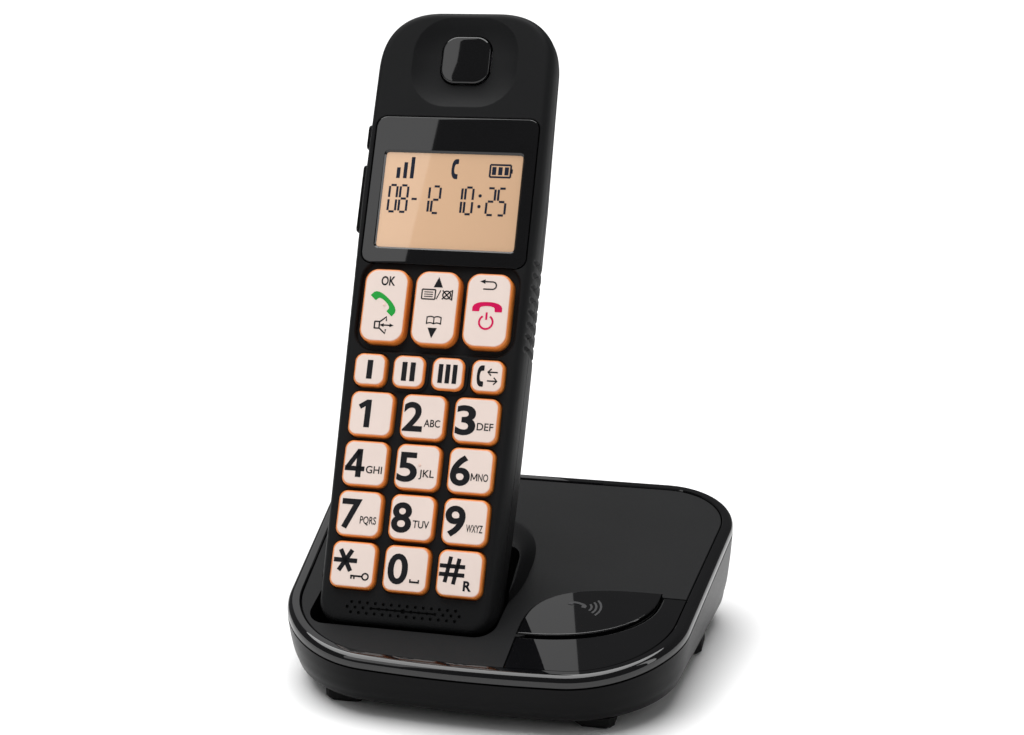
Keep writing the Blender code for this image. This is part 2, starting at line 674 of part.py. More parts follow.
def make_battery(frame):
    """Two cells side by side, a spring for each at the bottom and a plate that bridges them at the top."""
    for side, label in ((-1, "left"), (1, "right")):
        place = (side * (CELL_RADIUS + CELL_SPACING), CELL_BOTTOM, -CELL_DEPTH)
        profile = [(CELL_RADIUS, 0.0), (CELL_RADIUS, CELL_LENGTH - NUB_LENGTH)]
        profile += [(NUB_RADIUS, CELL_LENGTH - NUB_LENGTH), (NUB_RADIUS, CELL_LENGTH)]
        cell = along_y(turned(profile, 0.0, 0.0, 18), place)
        new_object(f"battery_cell_{label}", cell, frame, "cell_wrap")
        cone = [(SPRING_WIDE, -SPRING_LENGTH), (SPRING_NARROW, -GAP)]
        spring = along_y(turned(cone, 0.0, 0.0, 14), place)
        new_object(f"battery_spring_{label}", spring, frame, "nickel")
    y0 = CELL_BOTTOM + CELL_LENGTH + GAP
    half = CELL_RADIUS + BRIDGE_OVERLAP
    low = -CELL_DEPTH - BRIDGE_OVERLAP
    plate = block(-half, y0, low, half, y0 + BRIDGE_THICKNESS, low + 2 * BRIDGE_OVERLAP)
    new_object("battery_bridge", plate, frame, "nickel", smooth=False)


def make_handset_fixings(frame):
    for side, label in ((-1, "left"), (1, "right")):
        x = side * PAD_SIDE
        pad = block(
            x - PAD_HALF_WIDTH, FACE_BOTTOM - PAD_BELOW, -PAD_DEPTH - PAD_HALF_DEPTH,
            x + PAD_HALF_WIDTH, FACE_BOTTOM + PAD_ABOVE, -PAD_DEPTH + PAD_HALF_DEPTH,
        )
        new_object(f"handset_contact_{label}", pad, frame, "nickel", smooth=False)
        seat = -rear_depth(HANDSET_SCREW_Y) + HANDSET_SCREW_SINK - GAP
        profile = [(SCREW_HEAD, seat - SCREW_HEAD_DEPTH), (SCREW_HEAD, seat)]
        profile += [(SCREW_SHANK, seat), (SCREW_SHANK, seat + HANDSET_SCREW_LENGTH)]
        screw = turned(profile, side * HANDSET_SCREW_X, HANDSET_SCREW_Y, 12)
        new_object(f"handset_screw_{label}", screw, frame, "steel")


# ---------------------------------------------------------------- base shape


def rim_z(y):
    return RIM_FRONT_Z + math.tan(RIM_SLOPE) * (y + BASE_DEPTH / 2)


def base_outline(grow, corner_steps=7):
    """The rim's outline grown by a distance: a tapered rounded rectangle whose front edge bows outwards."""
    front = BASE_FRONT_WIDTH / 2 + grow
    rear = BASE_REAR_WIDTH / 2 + grow
    half = BASE_DEPTH / 2 + grow
    corners = [(-front, -half), (front, -half), (rear, half), (-rear, half)]
    radii = [BASE_FRONT_CORNER + grow] * 2 + [BASE_REAR_CORNER + grow] * 2
    points = []
    for i in range(4):
        here = Vector(corners[i])
        back = (Vector(corners[i - 1]) - here).normalized()
        ahead = (Vector(corners[(i + 1) % 4]) - here).normalized()
        opening = back.angle(ahead)
        centre = here + (back + ahead).normalized() * radii[i] / math.sin(opening / 2)
        start = here + back * radii[i] / math.tan(opening / 2) - centre
        turn = math.pi - opening
        for k in range(corner_steps + 1):
            arm = Matrix.Rotation(turn * k / corner_steps, 2) @ start
            points.append(centre + arm)
        if i % 2 == 0:
            first = points[-1]
            following = Vector(corners[i + 1])
            other = (Vector(corners[i]) - following).normalized()
            angle = other.angle((Vector(corners[(i + 2) % 4]) - following).normalized())
            last = following + other * radii[i + 1] / math.tan(angle / 2)
            points += [first.lerp(last, k / 4) for k in (1, 2, 3)]
    bowed = []
    for x, y in points:
        share = max(0.0, 1 - (x / (BASE_FRONT_WIDTH / 2)) ** 2) * max(0.0, -y / half)
        bowed.append((x, y - BASE_FRONT_BULGE * share))
    return bowed


def sloped(points, drop):
    """Puts plan points on the rim plane, lowered by a distance."""
    return [(x, y, rim_z(y) - drop) for x, y in points]


def sloped_plate(points, top_drop, thickness, bm=None):
    return stack([sloped(points, top_drop + thickness), sloped(points, top_drop)], bm)


def shell_ring(grow, share, lift, skin):
    """A ring of the bottom shell: share 0 on its floor and 1 at the parting line under the trim band."""
    ring = []
    for x, y in base_outline(grow - skin):
        top = rim_z(y) - BAND_HEIGHT - GAP
        low = BASE_FLOOR_Z + lift
        ring.append((x, y, low + (top - low) * share))
    return ring


def jack_hole(x, width, height, bm):
    """The opening in the back wall round a jack that stands on the rear board."""
    low = BASE_BOARD_Z + BASE_BOARD_THICKNESS
    half = width / 2 + GAP
    block(x - half, JACK_FACE_Y - OVERRUN, low, x + half, JACK_FACE_Y + FAR, low + height + 2 * GAP, bm)


def make_bottom_shell(frame):
    rings = [shell_ring(grow, share, 0.0, 0.0) for grow, share in SHELL_LEVELS]
    rings += [shell_ring(grow, share, BASE_WALL, BASE_WALL) for grow, share in reversed(SHELL_LEVELS)]
    shell = new_object("base_bottom_shell", stack(rings), frame, "satin_black")

    bosses = bmesh.new()
    for x, y in BASE_SCREWS:
        disc(x, y, BOSS_RADIUS, BASE_FLOOR_Z + BASE_WALL / 2, BOSS_TOP, bosses)
    carve(shell, new_object("bottom_boss", bosses, frame), "UNION")

    cuts = bmesh.new()
    seat = BOSS_TOP - BOSS_SEAT
    for x, y in BASE_SCREWS:
        disc(x, y, SCREW_HEAD + GAP, 0.0, seat, cuts)
    jack_hole(LINE_JACK_X, LINE_JACK_WIDTH, LINE_JACK_HEIGHT, cuts)
    jack_hole(DC_JACK_X, DC_JACK_SIZE, DC_JACK_SIZE, cuts)
    carve(shell, new_object("bottom_cutter", cuts, frame))
    shanks = bmesh.new()
    for x, y in BASE_SCREWS:
        disc(x, y, SCREW_SHANK + GAP, seat - GAP, BOSS_TOP + OVERRUN, shanks)
    carve(shell, new_object("bottom_shank_cutter", shanks, frame))
    return shell


def make_trim_band(frame):
    bm = bmesh.new()
    loops = []
    for grow, drop in BAND_SECTION:
        loops.append([bm.verts.new(p) for p in sloped(base_outline(grow), drop)])
    for k, low in enumerate(loops):
        high = loops[(k + 1) % len(loops)]
        for i in range(len(low)):
            j = (i + 1) % len(low)
            bm.faces.new((low[i], low[j], high[j], high[i]))
    return new_object("base_trim_band", bm, frame, "gloss_black")


def arc_between(x0, y0, x1, y1, power, steps=9):
    """A superellipse quarter that leaves (x0, y0) along X and reaches (x1, y1) along Y."""
    points = []
    for k in range(steps + 1):
        turn = math.pi / 2 * k / steps
        across = math.sin(turn) ** (2 / power)
        rise = 1 - math.cos(turn) ** (2 / power)
        points.append((x0 + (x1 - x0) * across, y0 + (y1 - y0) * rise))
    return points


def leaf_outline(grow=0.0):
    """The page button: the panel's inner arc moved in by the groove, closed by a rounder arc behind."""
    tip_x = SEAM_X - grow
    right = ARC_RIGHT_X - GROOVE / 2 + grow
    front = ARC_FRONT_Y + GROOVE - grow
    rear = SEAM_REAR_Y + GROOVE + grow
    near = arc_between(tip_x, front, right, rear, ARC_POWER)
    far = arc_between(right, rear, tip_x, front, LEAF_POWER)
    return near[:-1] + [(right, rear)] + far[1:-1]


def front_edge_y(x, grow):
    """Where the bowed front edge of the grown outline stands at a distance across."""
    return -BASE_DEPTH / 2 - grow - BASE_FRONT_BULGE * (1 - (x / (BASE_FRONT_WIDTH / 2)) ** 2)


def side_edge_x(y, grow):
    """Where the straight right side of the grown outline stands at a distance back."""
    share = (y + BASE_DEPTH / 2 + grow) / (BASE_DEPTH + 2 * grow)
    return BASE_FRONT_WIDTH / 2 + grow + (BASE_REAR_WIDTH - BASE_FRONT_WIDTH) / 2 * share


def panel_outline(grow=0.0, spill=0.0):
    """The corner panel: front seam, the rim's corner, rear seam, and back along the arc by the button."""
    edge = -BAND_IN - GAP + spill
    left = SEAM_X - grow
    rear = SEAM_REAR_Y + grow
    corner = [p for p in base_outline(edge) if p[0] > left + OVERRUN and p[1] < rear - OVERRUN]
    arch = arc_between(left, ARC_FRONT_Y + grow, ARC_RIGHT_X - grow, rear, ARC_POWER)
    ends = (left, front_edge_y(left, edge)), (side_edge_x(rear, edge), rear)
    return [ends[0], *corner, ends[1], *reversed(arch)]


def pocket_ring(y, half, margin):
    """The cradle's section across the handset at a distance y along it, in the handset's frame."""
    front = POCKET_FRONT + margin
    back = -rear_depth(max(y, POCKET_DEPTH_FROM)) - 2 * GAP - margin
    middle = (front + back) / 2
    width = 2 * (half + margin)
    outline = rounded_rectangle(width, front - back, POCKET_CORNER + margin, POCKET_SHIFT, middle, 4)
    return [(x, y, z) for x, z in outline]


def pocket_body(margin, low, high):
    """Stack of sections: straight up the handset with sides that flare towards the mouth."""
    rings = [pocket_ring(low, POCKET_HALF_LOW, margin)]
    rings.append(pocket_ring(POCKET_FLARE_HEIGHT, POCKET_HALF_HIGH, margin))
    if high > POCKET_FLARE_HEIGHT:
        rings.append(pocket_ring(high, POCKET_HALF_HIGH, margin))
    return stack(rings)


def collar_ring(inward, height, count=40):
    """One level of the collar: a rounded oval on the deck, moved in towards the crest and lifted."""
    front = HANDSET_Y + COLLAR_FRONT
    rear = COLLAR_REAR - COLLAR_SLOPE_REAR * inward
    half = POCKET_HALF_HIGH + COLLAR_SIDE - COLLAR_SLOPE_SIDE * inward
    ring = []
    for k in range(count):
        turn = 2 * math.pi * k / count
        side = math.copysign(abs(math.cos(turn)) ** COLLAR_ROUNDNESS, math.cos(turn))
        along = math.copysign(abs(math.sin(turn)) ** COLLAR_ROUNDNESS, math.sin(turn))
        y = (front + rear) / 2 + along * (rear - front) / 2
        climb = min(1.0, max(0.0, (y - front) / COLLAR_RUN_UP))
        lift = COLLAR_HEIGHT * height * climb * climb * (3 - 2 * climb)
        ring.append((HANDSET_SIDE + POCKET_SHIFT + side * half, y, rim_z(y) - COVER_DROP + lift))
    return ring


def collar_body():
    """A low saddle round the cradle: level with the deck beside the handset's face, highest behind it."""
    foot = [(x, y, z - COVER_THICKNESS / 2) for x, y, z in collar_ring(0.0, 0.0)]
    return stack([foot] + [collar_ring(inward, height) for inward, height in COLLAR_LEVELS])


def pin_holes(low, high):
    """A cutter for the two holes that the charge pins slide in, along the handset's length."""
    bm = bmesh.new()
    for side in (-1, 1):
        outline = arc(side * PAD_SIDE, -PAD_DEPTH, PIN_RADIUS + GAP, 0, 348, 12)
        stack([[(x, y, z) for x, z in outline] for y in (low, high)], bm)
    return bm


def make_top_cover(frame, handset):
    plate = sloped_plate(base_outline(-BAND_IN - GAP), COVER_DROP, COVER_THICKNESS)
    cover = new_object("base_top_cover", plate, frame, "matte_black")
    carve(cover, new_object("collar", collar_body(), frame), "UNION")
    cradle = pocket_body(POCKET_WALL, -POCKET_FLOOR_GAP - POCKET_WALL, POCKET_FLARE_HEIGHT)
    cup = new_object("cradle_cup", cradle, handset)
    above = base_outline(FAR)
    lid = stack([sloped(above, -2 * FAR), sloped(above, COVER_DROP + GAP)])
    carve(cup, new_object("cup_trim", lid, frame))
    bounds = stack([flat(base_outline(-BAND_IN - GAP), z) for z in (-FAR, 2 * FAR)])
    carve(cup, new_object("cup_bounds", bounds, frame), "INTERSECT")
    carve(cover, cup, "UNION")

    posts = bmesh.new()
    for x, y in BASE_SCREWS:
        disc(x, y, POST_RADIUS, BOSS_TOP + GAP, rim_z(y) - COVER_DROP - COVER_THICKNESS / 2, posts)
    carve(cover, new_object("cover_posts", posts, frame), "UNION")
    pilots = bmesh.new()
    for x, y in BASE_SCREWS:
        depth = BOSS_TOP - BOSS_SEAT + SCREW_LENGTH + 2 * GAP
        disc(x, y, SCREW_SHANK + GAP / 3, BOSS_TOP - OVERRUN, depth, pilots)
    carve(cover, new_object("pilot_cutter", pilots, frame))
    carve(cover, new_object("cradle_cutter", pocket_body(0.0, -POCKET_FLOOR_GAP, CRADLE_REACH), handset))

    height = 2 * OVERRUN + COVER_THICKNESS
    openings = sloped_plate(leaf_outline(GAP), -OVERRUN, height)
    sloped_plate(panel_outline(GAP, 2 * OVERRUN), -OVERRUN, height, openings)
    carve(cover, new_object("panel_opening_cutter", openings, frame))
    holes = pin_holes(-POCKET_FLOOR_GAP - POCKET_WALL - OVERRUN, OVERRUN)
    carve(cover, new_object("pin_hole_cutter", holes, handset))
    return cover


def make_panel_and_button(frame):
    panel = sloped_plate(panel_outline(), COVER_DROP, COVER_THICKNESS)
    new_object("corner_panel", panel, frame, "gloss_black")
    switch_top = BASE_BOARD_Z + BASE_BOARD_THICKNESS + GAP + SWITCH_HEIGHT
    button = sloped_plate(leaf_outline(), 0.0, PAGE_THICKNESS)
    button = new_object("page_button", button, frame, "gloss_black", origin=(SWITCH_X, SWITCH_Y, switch_top))
    stem_low = switch_top + PAGE_TRAVEL + GAP
    stem = disc(SWITCH_X, SWITCH_Y, PAGE_STEM, stem_low, rim_z(SWITCH_Y) - PAGE_THICKNESS / 2, steps=12)
    carve(button, new_object("page_stem", stem, frame), "UNION")


def make_base_boards(frame):
    top = BASE_BOARD_Z + BASE_BOARD_THICKNESS
    for name, (x0, y0, x1, y1) in (("base_board", MAIN_BOARD), ("jack_board", JACK_BOARD)):
        new_object(name, block(x0, y0, BASE_BOARD_Z, x1, y1, top), frame, "board_green", smooth=False)
    z = top + GAP
    half = SWITCH_SIZE / 2
    switch = block(SWITCH_X - half, SWITCH_Y - half, z, SWITCH_X + half, SWITCH_Y + half, z + SWITCH_HEIGHT)
    new_object("page_switch", switch, frame, "satin_black", smooth=False)


def jack_block(x, width, height, depth):
    """A jack's housing, standing on the rear board with its face in the back wall."""
    low = BASE_BOARD_Z + BASE_BOARD_THICKNESS + GAP
    return block(x - width / 2, JACK_FACE_Y - depth, low, x + width / 2, JACK_FACE_Y, low + height)


def make_jacks(frame):
    low = BASE_BOARD_Z + BASE_BOARD_THICKNESS + GAP
    body = jack_block(LINE_JACK_X, LINE_JACK_WIDTH, LINE_JACK_HEIGHT, LINE_JACK_DEPTH)
    line = new_object("line_jack", body, frame, "matte_black", smooth=False)
    socket_low = low + (LINE_JACK_HEIGHT - LINE_SOCKET_HEIGHT) / 2
    socket = block(
        LINE_JACK_X - LINE_SOCKET_WIDTH / 2, JACK_FACE_Y - LINE_JACK_DEPTH + JACK_REAR_WALL, socket_low,
        LINE_JACK_X + LINE_SOCKET_WIDTH / 2, JACK_FACE_Y + OVERRUN, socket_low + LINE_SOCKET_HEIGHT,
    )
    carve(line, new_object("socket_cutter", socket, frame))

    body = jack_block(DC_JACK_X, DC_JACK_SIZE, DC_JACK_SIZE, DC_JACK_DEPTH)
    jack = new_object("dc_jack", body, frame, "matte_black", smooth=False)
    middle = low + DC_JACK_SIZE / 2
    bottom = JACK_FACE_Y - DC_JACK_DEPTH + JACK_REAR_WALL
    bore = along_y(disc(0.0, 0.0, DC_BORE, 0.0, DC_JACK_DEPTH), (DC_JACK_X, bottom, middle))
    carve(jack, new_object("dc_bore_cutter", bore, frame))
    root = (DC_JACK_X, bottom - JACK_REAR_WALL / 2, middle)
    pin = along_y(disc(0.0, 0.0, DC_PIN, 0.0, DC_PIN_LENGTH, steps=12), root)
    carve(jack, new_object("dc_pin", pin, frame), "UNION")


def make_charge_contacts(handset):
    top = -POCKET_FLOOR_GAP - POCKET_WALL - GAP
    outline = rounded_rectangle(2 * HOLDER_HALF_X, 2 * HOLDER_HALF_DEPTH, GAP, 0.0, -PAD_DEPTH, steps=1)
    holder = stack([[(x, y, z) for x, z in outline] for y in (top - HOLDER_HEIGHT, top)])
    holder = new_object("contact_holder", holder, handset, "satin_black", smooth=False)
    guides = pin_holes(top - HOLDER_HEIGHT - OVERRUN, top + OVERRUN)
    carve(holder, new_object("guide_cutter", guides, handset))
    pin_top = -PIN_TOP_GAP
    levels = [(PIN_RADIUS, pin_top - PIN_LENGTH), (PIN_RADIUS, pin_top - PIN_TIP)]
    levels.append((PIN_TIP_RADIUS, pin_top))
    for side, label in ((-1, "left"), (1, "right")):
        x = side * PAD_SIDE
        rings = []
        for radius, y in levels:
            rings.append([(px, y, pz) for px, pz in arc(x, -PAD_DEPTH, radius, 0, 330, 11)])
        name = f"charge_pin_{label}"
        new_object(name, stack(rings), handset, "nickel", origin=(x, pin_top, -PAD_DEPTH))


def make_feet_and_screws(frame):
    """Square feet, tapered at the bottom, whose tops follow the underside of the shell."""
    rings = [shell_ring(grow + GAP, share, -GAP, 0.0) for grow, share in SHELL_LEVELS]
    shell_form = new_object("foot_cutter", stack(rings), frame)
    levels = ((FOOT_TAPER, 0.0), (1.0, FOOT_TAPER_HEIGHT), (1.0, FOOT_TOP))
    for number, (x, y) in enumerate(FEET, 1):
        rings = []
        for share, z in levels:
            size = FOOT_SIZE * share
            rings.append(flat(rounded_rectangle(size, size, FOOT_CORNER * share, x, y, steps=1), z))
        foot = new_object(f"rubber_foot_{number}", stack(rings), frame, "rubber")
        carve(foot, shell_form)
    seat = BOSS_TOP - BOSS_SEAT - GAP
    for number, (x, y) in enumerate(BASE_SCREWS, 1):
        profile = [(SCREW_HEAD, seat - SCREW_HEAD_DEPTH), (SCREW_HEAD, seat), (SCREW_SHANK, seat)]
        profile.append((SCREW_SHANK, seat + SCREW_LENGTH))
        new_object(f"base_screw_{number}", turned(profile, x, y, 12), frame, "steel")


def centre_on_table(frames):
    """Shifts the frames so that the origin lies on the table under the middle of the whole model."""
    bpy.context.view_layer.update()
    graph = bpy.context.evaluated_depsgraph_get()
    points = []
    for obj in bpy.context.scene.objects:
        if obj.type == "MESH" and not obj.hide_render:
            solid = obj.evaluated_get(graph)
            points += [solid.matrix_world @ vertex.co for vertex in solid.data.vertices]
    for frame in frames:
        for i in (0, 1):
            values = [point[i] for point in points]
            frame.location[i] -= (min(values) + max(values)) / 2


def main():
    clear_scene()
    base = frame_empty("base_frame", (0, 0, 0))
    tilt = math.pi / 2 - HANDSET_LEAN
    handset = frame_empty("handset_frame", (HANDSET_SIDE, HANDSET_Y, HANDSET_Z), tilt)
    make_front_cover(handset)
    make_rear_cover(handset)
    make_battery_cover(handset)
    make_key_caps(handset)
    make_side_keys(handset)
    make_boards(handset)
    make_display(handset)
    make_sound_parts(handset)
    make_battery(handset)
    make_handset_fixings(handset)
    make_bottom_shell(base)
    make_trim_band(base)
    make_top_cover(base, handset)
    make_panel_and_button(base)
    make_base_boards(base)
    make_jacks(base)
    make_charge_contacts(handset)
    make_feet_and_screws(base)
    centre_on_table((base, handset))


main()
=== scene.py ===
"""Looks of a cordless telephone standing in its charging base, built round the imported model.

Metres, +Z up. Handset pieces are laid out in the handset's own frame (x across, y up its length, z out of its
face) and base pieces about the base's own centre. Each is then put in place in its mesh.
"""

import json
import math

import bmesh
import bpy
import numpy as np
from bpy.props import FloatProperty, FloatVectorProperty, IntProperty, PointerProperty
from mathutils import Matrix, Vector


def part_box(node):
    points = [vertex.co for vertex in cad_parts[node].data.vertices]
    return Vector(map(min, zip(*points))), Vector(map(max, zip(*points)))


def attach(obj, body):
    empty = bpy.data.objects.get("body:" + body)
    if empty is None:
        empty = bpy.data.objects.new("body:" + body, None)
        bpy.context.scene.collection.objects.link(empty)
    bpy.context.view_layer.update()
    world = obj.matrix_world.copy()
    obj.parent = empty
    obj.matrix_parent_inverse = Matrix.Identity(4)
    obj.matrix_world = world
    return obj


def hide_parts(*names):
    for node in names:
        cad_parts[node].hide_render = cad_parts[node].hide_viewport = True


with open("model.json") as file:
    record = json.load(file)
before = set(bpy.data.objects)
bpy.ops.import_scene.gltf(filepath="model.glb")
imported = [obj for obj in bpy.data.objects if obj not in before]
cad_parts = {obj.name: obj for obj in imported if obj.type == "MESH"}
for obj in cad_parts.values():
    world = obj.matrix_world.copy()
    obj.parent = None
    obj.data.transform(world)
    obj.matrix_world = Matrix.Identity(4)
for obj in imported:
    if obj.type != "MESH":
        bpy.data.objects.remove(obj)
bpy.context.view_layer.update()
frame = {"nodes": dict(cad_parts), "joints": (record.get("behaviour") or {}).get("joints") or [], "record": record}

bl_info = {
    "name": "Cordless telephone looks",
    "version": (1, 0, 0),
    "blender": (4, 5, 0),
    "location": "3D View > Sidebar > Telephone",
    "description": "Builds the visible surfaces and finishes of a cordless telephone and its base",
    "category": "Object",
}

# ---------------------------------------------------------------- places read from the frame

JOINT_OF = {joint["child"]: joint for joint in frame["joints"]}
NAVIGATOR_ROW = 0.0835
ROCKER_DEPTH = 0.0020
UP = np.array(JOINT_OF["handset"]["axis"], float)
OUT = -np.array(JOINT_OF["key_1"]["axis"], float)
ORIGIN = np.array(JOINT_OF["key_navigator"]["pos_m"], float) - NAVIGATOR_ROW * UP + ROCKER_DEPTH * OUT

# Handset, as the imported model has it
FACE_BOTTOM = 0.0013
FACE_TOP = 0.1664
HALF_BOTTOM = 0.0217
HALF_PANEL = 0.0238
HALF_TOP = 0.0234
PANEL_STATION = 0.115
BOTTOM_CORNER = 0.005
TOP_CORNER = 0.0165
SEAM_DEPTH = 0.007
SEAM_GAP = 0.0003
SIDE_BULGE = 0.0013
SHELL_WALL = 0.0015
FACE_WALL = 0.0018
# (outline growth, depth behind the face) down the rounded edge of the front cover
FACE_EDGE = ((-0.0008, 0.0), (-0.0001, 0.0003), (0.0007, 0.0016), (0.0012, 0.0040), (SIDE_BULGE, SEAM_DEPTH))
# (outline growth, share of the depth) from the seam to the back of the rear cover
REAR_LEVELS = ((SIDE_BULGE, 0.0), (0.0010, 0.35), (0.0002, 0.66), (-0.0012, 0.90), (-0.0034, 1.0))
# (distance up the handset, depth of its back there)
REAR_STATIONS = (
    (0.000, 0.0212),
    (0.030, 0.0240),
    (0.060, 0.0235),
    (0.090, 0.0205),
    (0.120, 0.0160),
    (0.150, 0.0128),
    (0.168, 0.0118),
)
# The battery bay: its lowest and highest distance up the handset, and half its width
BAY = (0.034, 0.094, 0.0160)
# The battery door's grip lines: their lowest and highest distance up the handset, and half their length
DOOR_GRIP = (0.078, 0.090, 0.0075)
DOOR_GRIP_PITCH = 0.0020
DOOR_GRIP_DEPTH = 0.00045
SIDE_KEY_DEPTH = 0.0040
PAD_SIDE = 0.0080
PAD_DEPTH = 0.0120
GRIP_TOP = 0.0995
MIC_ROW = 0.0049
NIB_RADIUS = 0.0004
NIB_HEIGHT = 0.00025
TALL_KEY_CORNER = 0.0034
KEY_CORNER = 0.0022
# The shallow pocket round the function keys: width, height, corner radius and distance up the face
FUNCTION_POCKET = (0.0424, 0.0242, 0.0052, 0.0839)
# (growth, height) up the pocket's wall and out over its broken edge
POCKET_SECTION = (
    (-0.0004, -0.0013), (0.0, -0.0012), (0.0001, -0.0010),
    (0.0004, -0.0002), (0.0008, 0.0001), (0.0012, 0.0006),
)
# The display: its view through the window plate, and that plate's corners
VIEW_WIDTH = 0.0386
VIEW_HEIGHT = 0.0274
WINDOW_CORNER = 0.0028
FIT = 0.0003

# Base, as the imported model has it
FRONT_WIDTH = 0.0970
REAR_WIDTH = 0.1184
DEPTH = 0.0935
FRONT_BULGE = 0.0039
FRONT_CORNER = 0.0268
REAR_CORNER = 0.0191
RIM_FRONT_Z = 0.0174
RIM_SLOPE = math.radians(9.5)
FLOOR_Z = 0.0026
BAND_HEIGHT = 0.0028
BAND_OUT = 0.0016
BAND_IN = 0.0017
SHELL_LEVELS = ((-0.0055, 0.0), (-0.0022, 0.10), (-0.0002, 0.32), (0.0010, 0.66), (BAND_OUT, 1.0))
BASE_WALL = 0.0018
COVER_THICKNESS = 0.0020
COVER_DROP = 0.0003
POCKET_FLOOR = -0.0007
POCKET_SHIFT = -0.0010
POCKET_HALF_LOW = 0.0244
POCKET_HALF_HIGH = 0.0256
POCKET_FLARE = 0.018
POCKET_FRONT = 0.0006
POCKET_CORNER = 0.0050
POCKET_WALL = 0.0006
COLLAR_HEIGHT = 0.0066
COLLAR_SIDE = 0.0018
COLLAR_SLOPE_SIDE = 0.0015
COLLAR_SLOPE_REAR = 0.0216
COLLAR_RUN_UP = 0.0260
COLLAR_ROUNDNESS = 0.75
SEAM_X = FRONT_WIDTH / 2 - 0.0376
ARC_RIGHT_X = FRONT_WIDTH / 2 - 0.0039
ARC_FRONT_Y = -DEPTH / 2 + 0.01125
SEAM_REAR_Y = ARC_FRONT_Y + 0.0233
GROOVE = 0.0016
ARC_POWER = 2.2
LEAF_POWER = 3.0
LEAF_THICKNESS = 0.0022

BAND_LOW, BAND_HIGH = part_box("base_trim_band")
BASE_Y = (BAND_LOW.y + BAND_HIGH.y) / 2 + FRONT_BULGE / 2
HANDSET_X = ORIGIN[0]
HANDSET_Y = ORIGIN[1] - BASE_Y
FAR = 0.03


def to_handset(world):
    """World points in the handset's frame: their parts along its three axes, from its origin."""
    away = np.asarray(world, float) - ORIGIN
    return np.stack([away[..., 0], away @ UP, away @ OUT], -1)


def from_handset(points):
    """Handset points in the world: the origin plus each part times its axis."""
    points = np.asarray(points, float)
    across = points[..., :1] * np.array([1.0, 0.0, 0.0])
    return ORIGIN + across + points[..., 1:2] * UP + points[..., 2:3] * OUT


def from_base(points):
    """Base points in the world: moved back by the distance to the base's own centre."""
    return np.asarray(points, float) + np.array([0.0, BASE_Y, 0.0])


def vertex_places(mesh):
    """All of a mesh's vertices as one array of points."""
    flat = np.empty(3 * len(mesh.vertices), np.float32)
    mesh.vertices.foreach_get("co", flat)
    return flat.reshape(-1, 3).astype(float)


def handset_box(node):
    """Lowest and highest corner of a node, measured in the handset's frame."""
    corners = to_handset(vertex_places(frame["nodes"][node].data))
    return corners.min(0), corners.max(0)


# ---------------------------------------------------------------- curves and outlines


def eased(stations, values, at):
    """A smooth curve through stations: between two of them a cubic that keeps the slope at each end."""
    stations = np.asarray(stations, float)
    values = np.asarray(values, float)
    at = np.clip(at, stations[0], stations[-1])
    slopes = np.gradient(values, stations)
    k = np.clip(np.searchsorted(stations, at, side="right") - 1, 0, len(stations) - 2)
    span = stations[k + 1] - stations[k]
    t = (at - stations[k]) / span
    start = (1 + 2 * t) * (1 - t) ** 2 * values[k] + t * (1 - t) ** 2 * span * slopes[k]
    return start + t * t * (3 - 2 * t) * values[k + 1] + t * t * (t - 1) * span * slopes[k + 1]


def along(points, count):
    """A smooth path through a few points: each coordinate is eased over the length of the straight path."""
    points = np.asarray(points, float)
    length = np.r_[0, np.cumsum(np.linalg.norm(np.diff(points, axis=0), axis=1))]
    at = np.linspace(0, length[-1], count)
    return np.stack([eased(length, points[:, i], at) for i in range(points.shape[1])], -1)


def smooth_step(value):
    """0 below 0, 1 above 1 and 3v² - 2v³ between."""
    value = np.clip(value, 0.0, 1.0)
    return value * value * (3 - 2 * value)


def lifted(outline, height):
    """Plan points with a height added, which may be one number or one for each point."""
    outline = np.asarray(outline, float)
    return np.column_stack([outline, np.broadcast_to(height, len(outline))])


def upright(plan, y):
    """An (x, z) section stood at a distance y."""
    return np.column_stack([plan[:, 0], np.full(len(plan), y), plan[:, 1]])


def sideways(plan, x):
    """A (y, z) section stood at a distance x."""
    return np.column_stack([np.full(len(plan), x), plan])


def rounded(width, height, corner, centre=(0.0, 0.0), steps=8):
    """A rectangle with circular corners: the corner centres plus the radius times (cos, sin)."""
    turns = np.radians(np.concatenate([np.linspace(a, a + 90, steps + 1) for a in (-90, 0, 90, 180)]))
    right = np.repeat([1, 1, -1, -1], steps + 1)
    upper = np.repeat([-1, 1, 1, -1], steps + 1)
    x = centre[0] + right * (width / 2 - corner) + corner * np.cos(turns)
    y = centre[1] + upper * (height / 2 - corner) + corner * np.sin(turns)
    return np.stack([x, y], -1)


def circle(radius, centre=(0.0, 0.0), start=0.0, end=360.0, count=25):
    """Points at one distance from a centre, from one angle to another; a full turn leaves out the repeat."""
    turns = np.radians(np.linspace(start, end, count))
    points = np.stack([centre[0] + radius * np.cos(turns), centre[1] + radius * np.sin(turns)], -1)
    return points[:-1] if abs(end - start) == 360 else points


def turned(points, angle):
    """Plan points turned about the origin by an angle in degrees."""
    turn = math.radians(angle)
    return np.asarray(points, float) @ np.array(
        [[math.cos(turn), math.sin(turn)], [-math.sin(turn), math.cos(turn)]]
    )


# ---------------------------------------------------------------- meshes


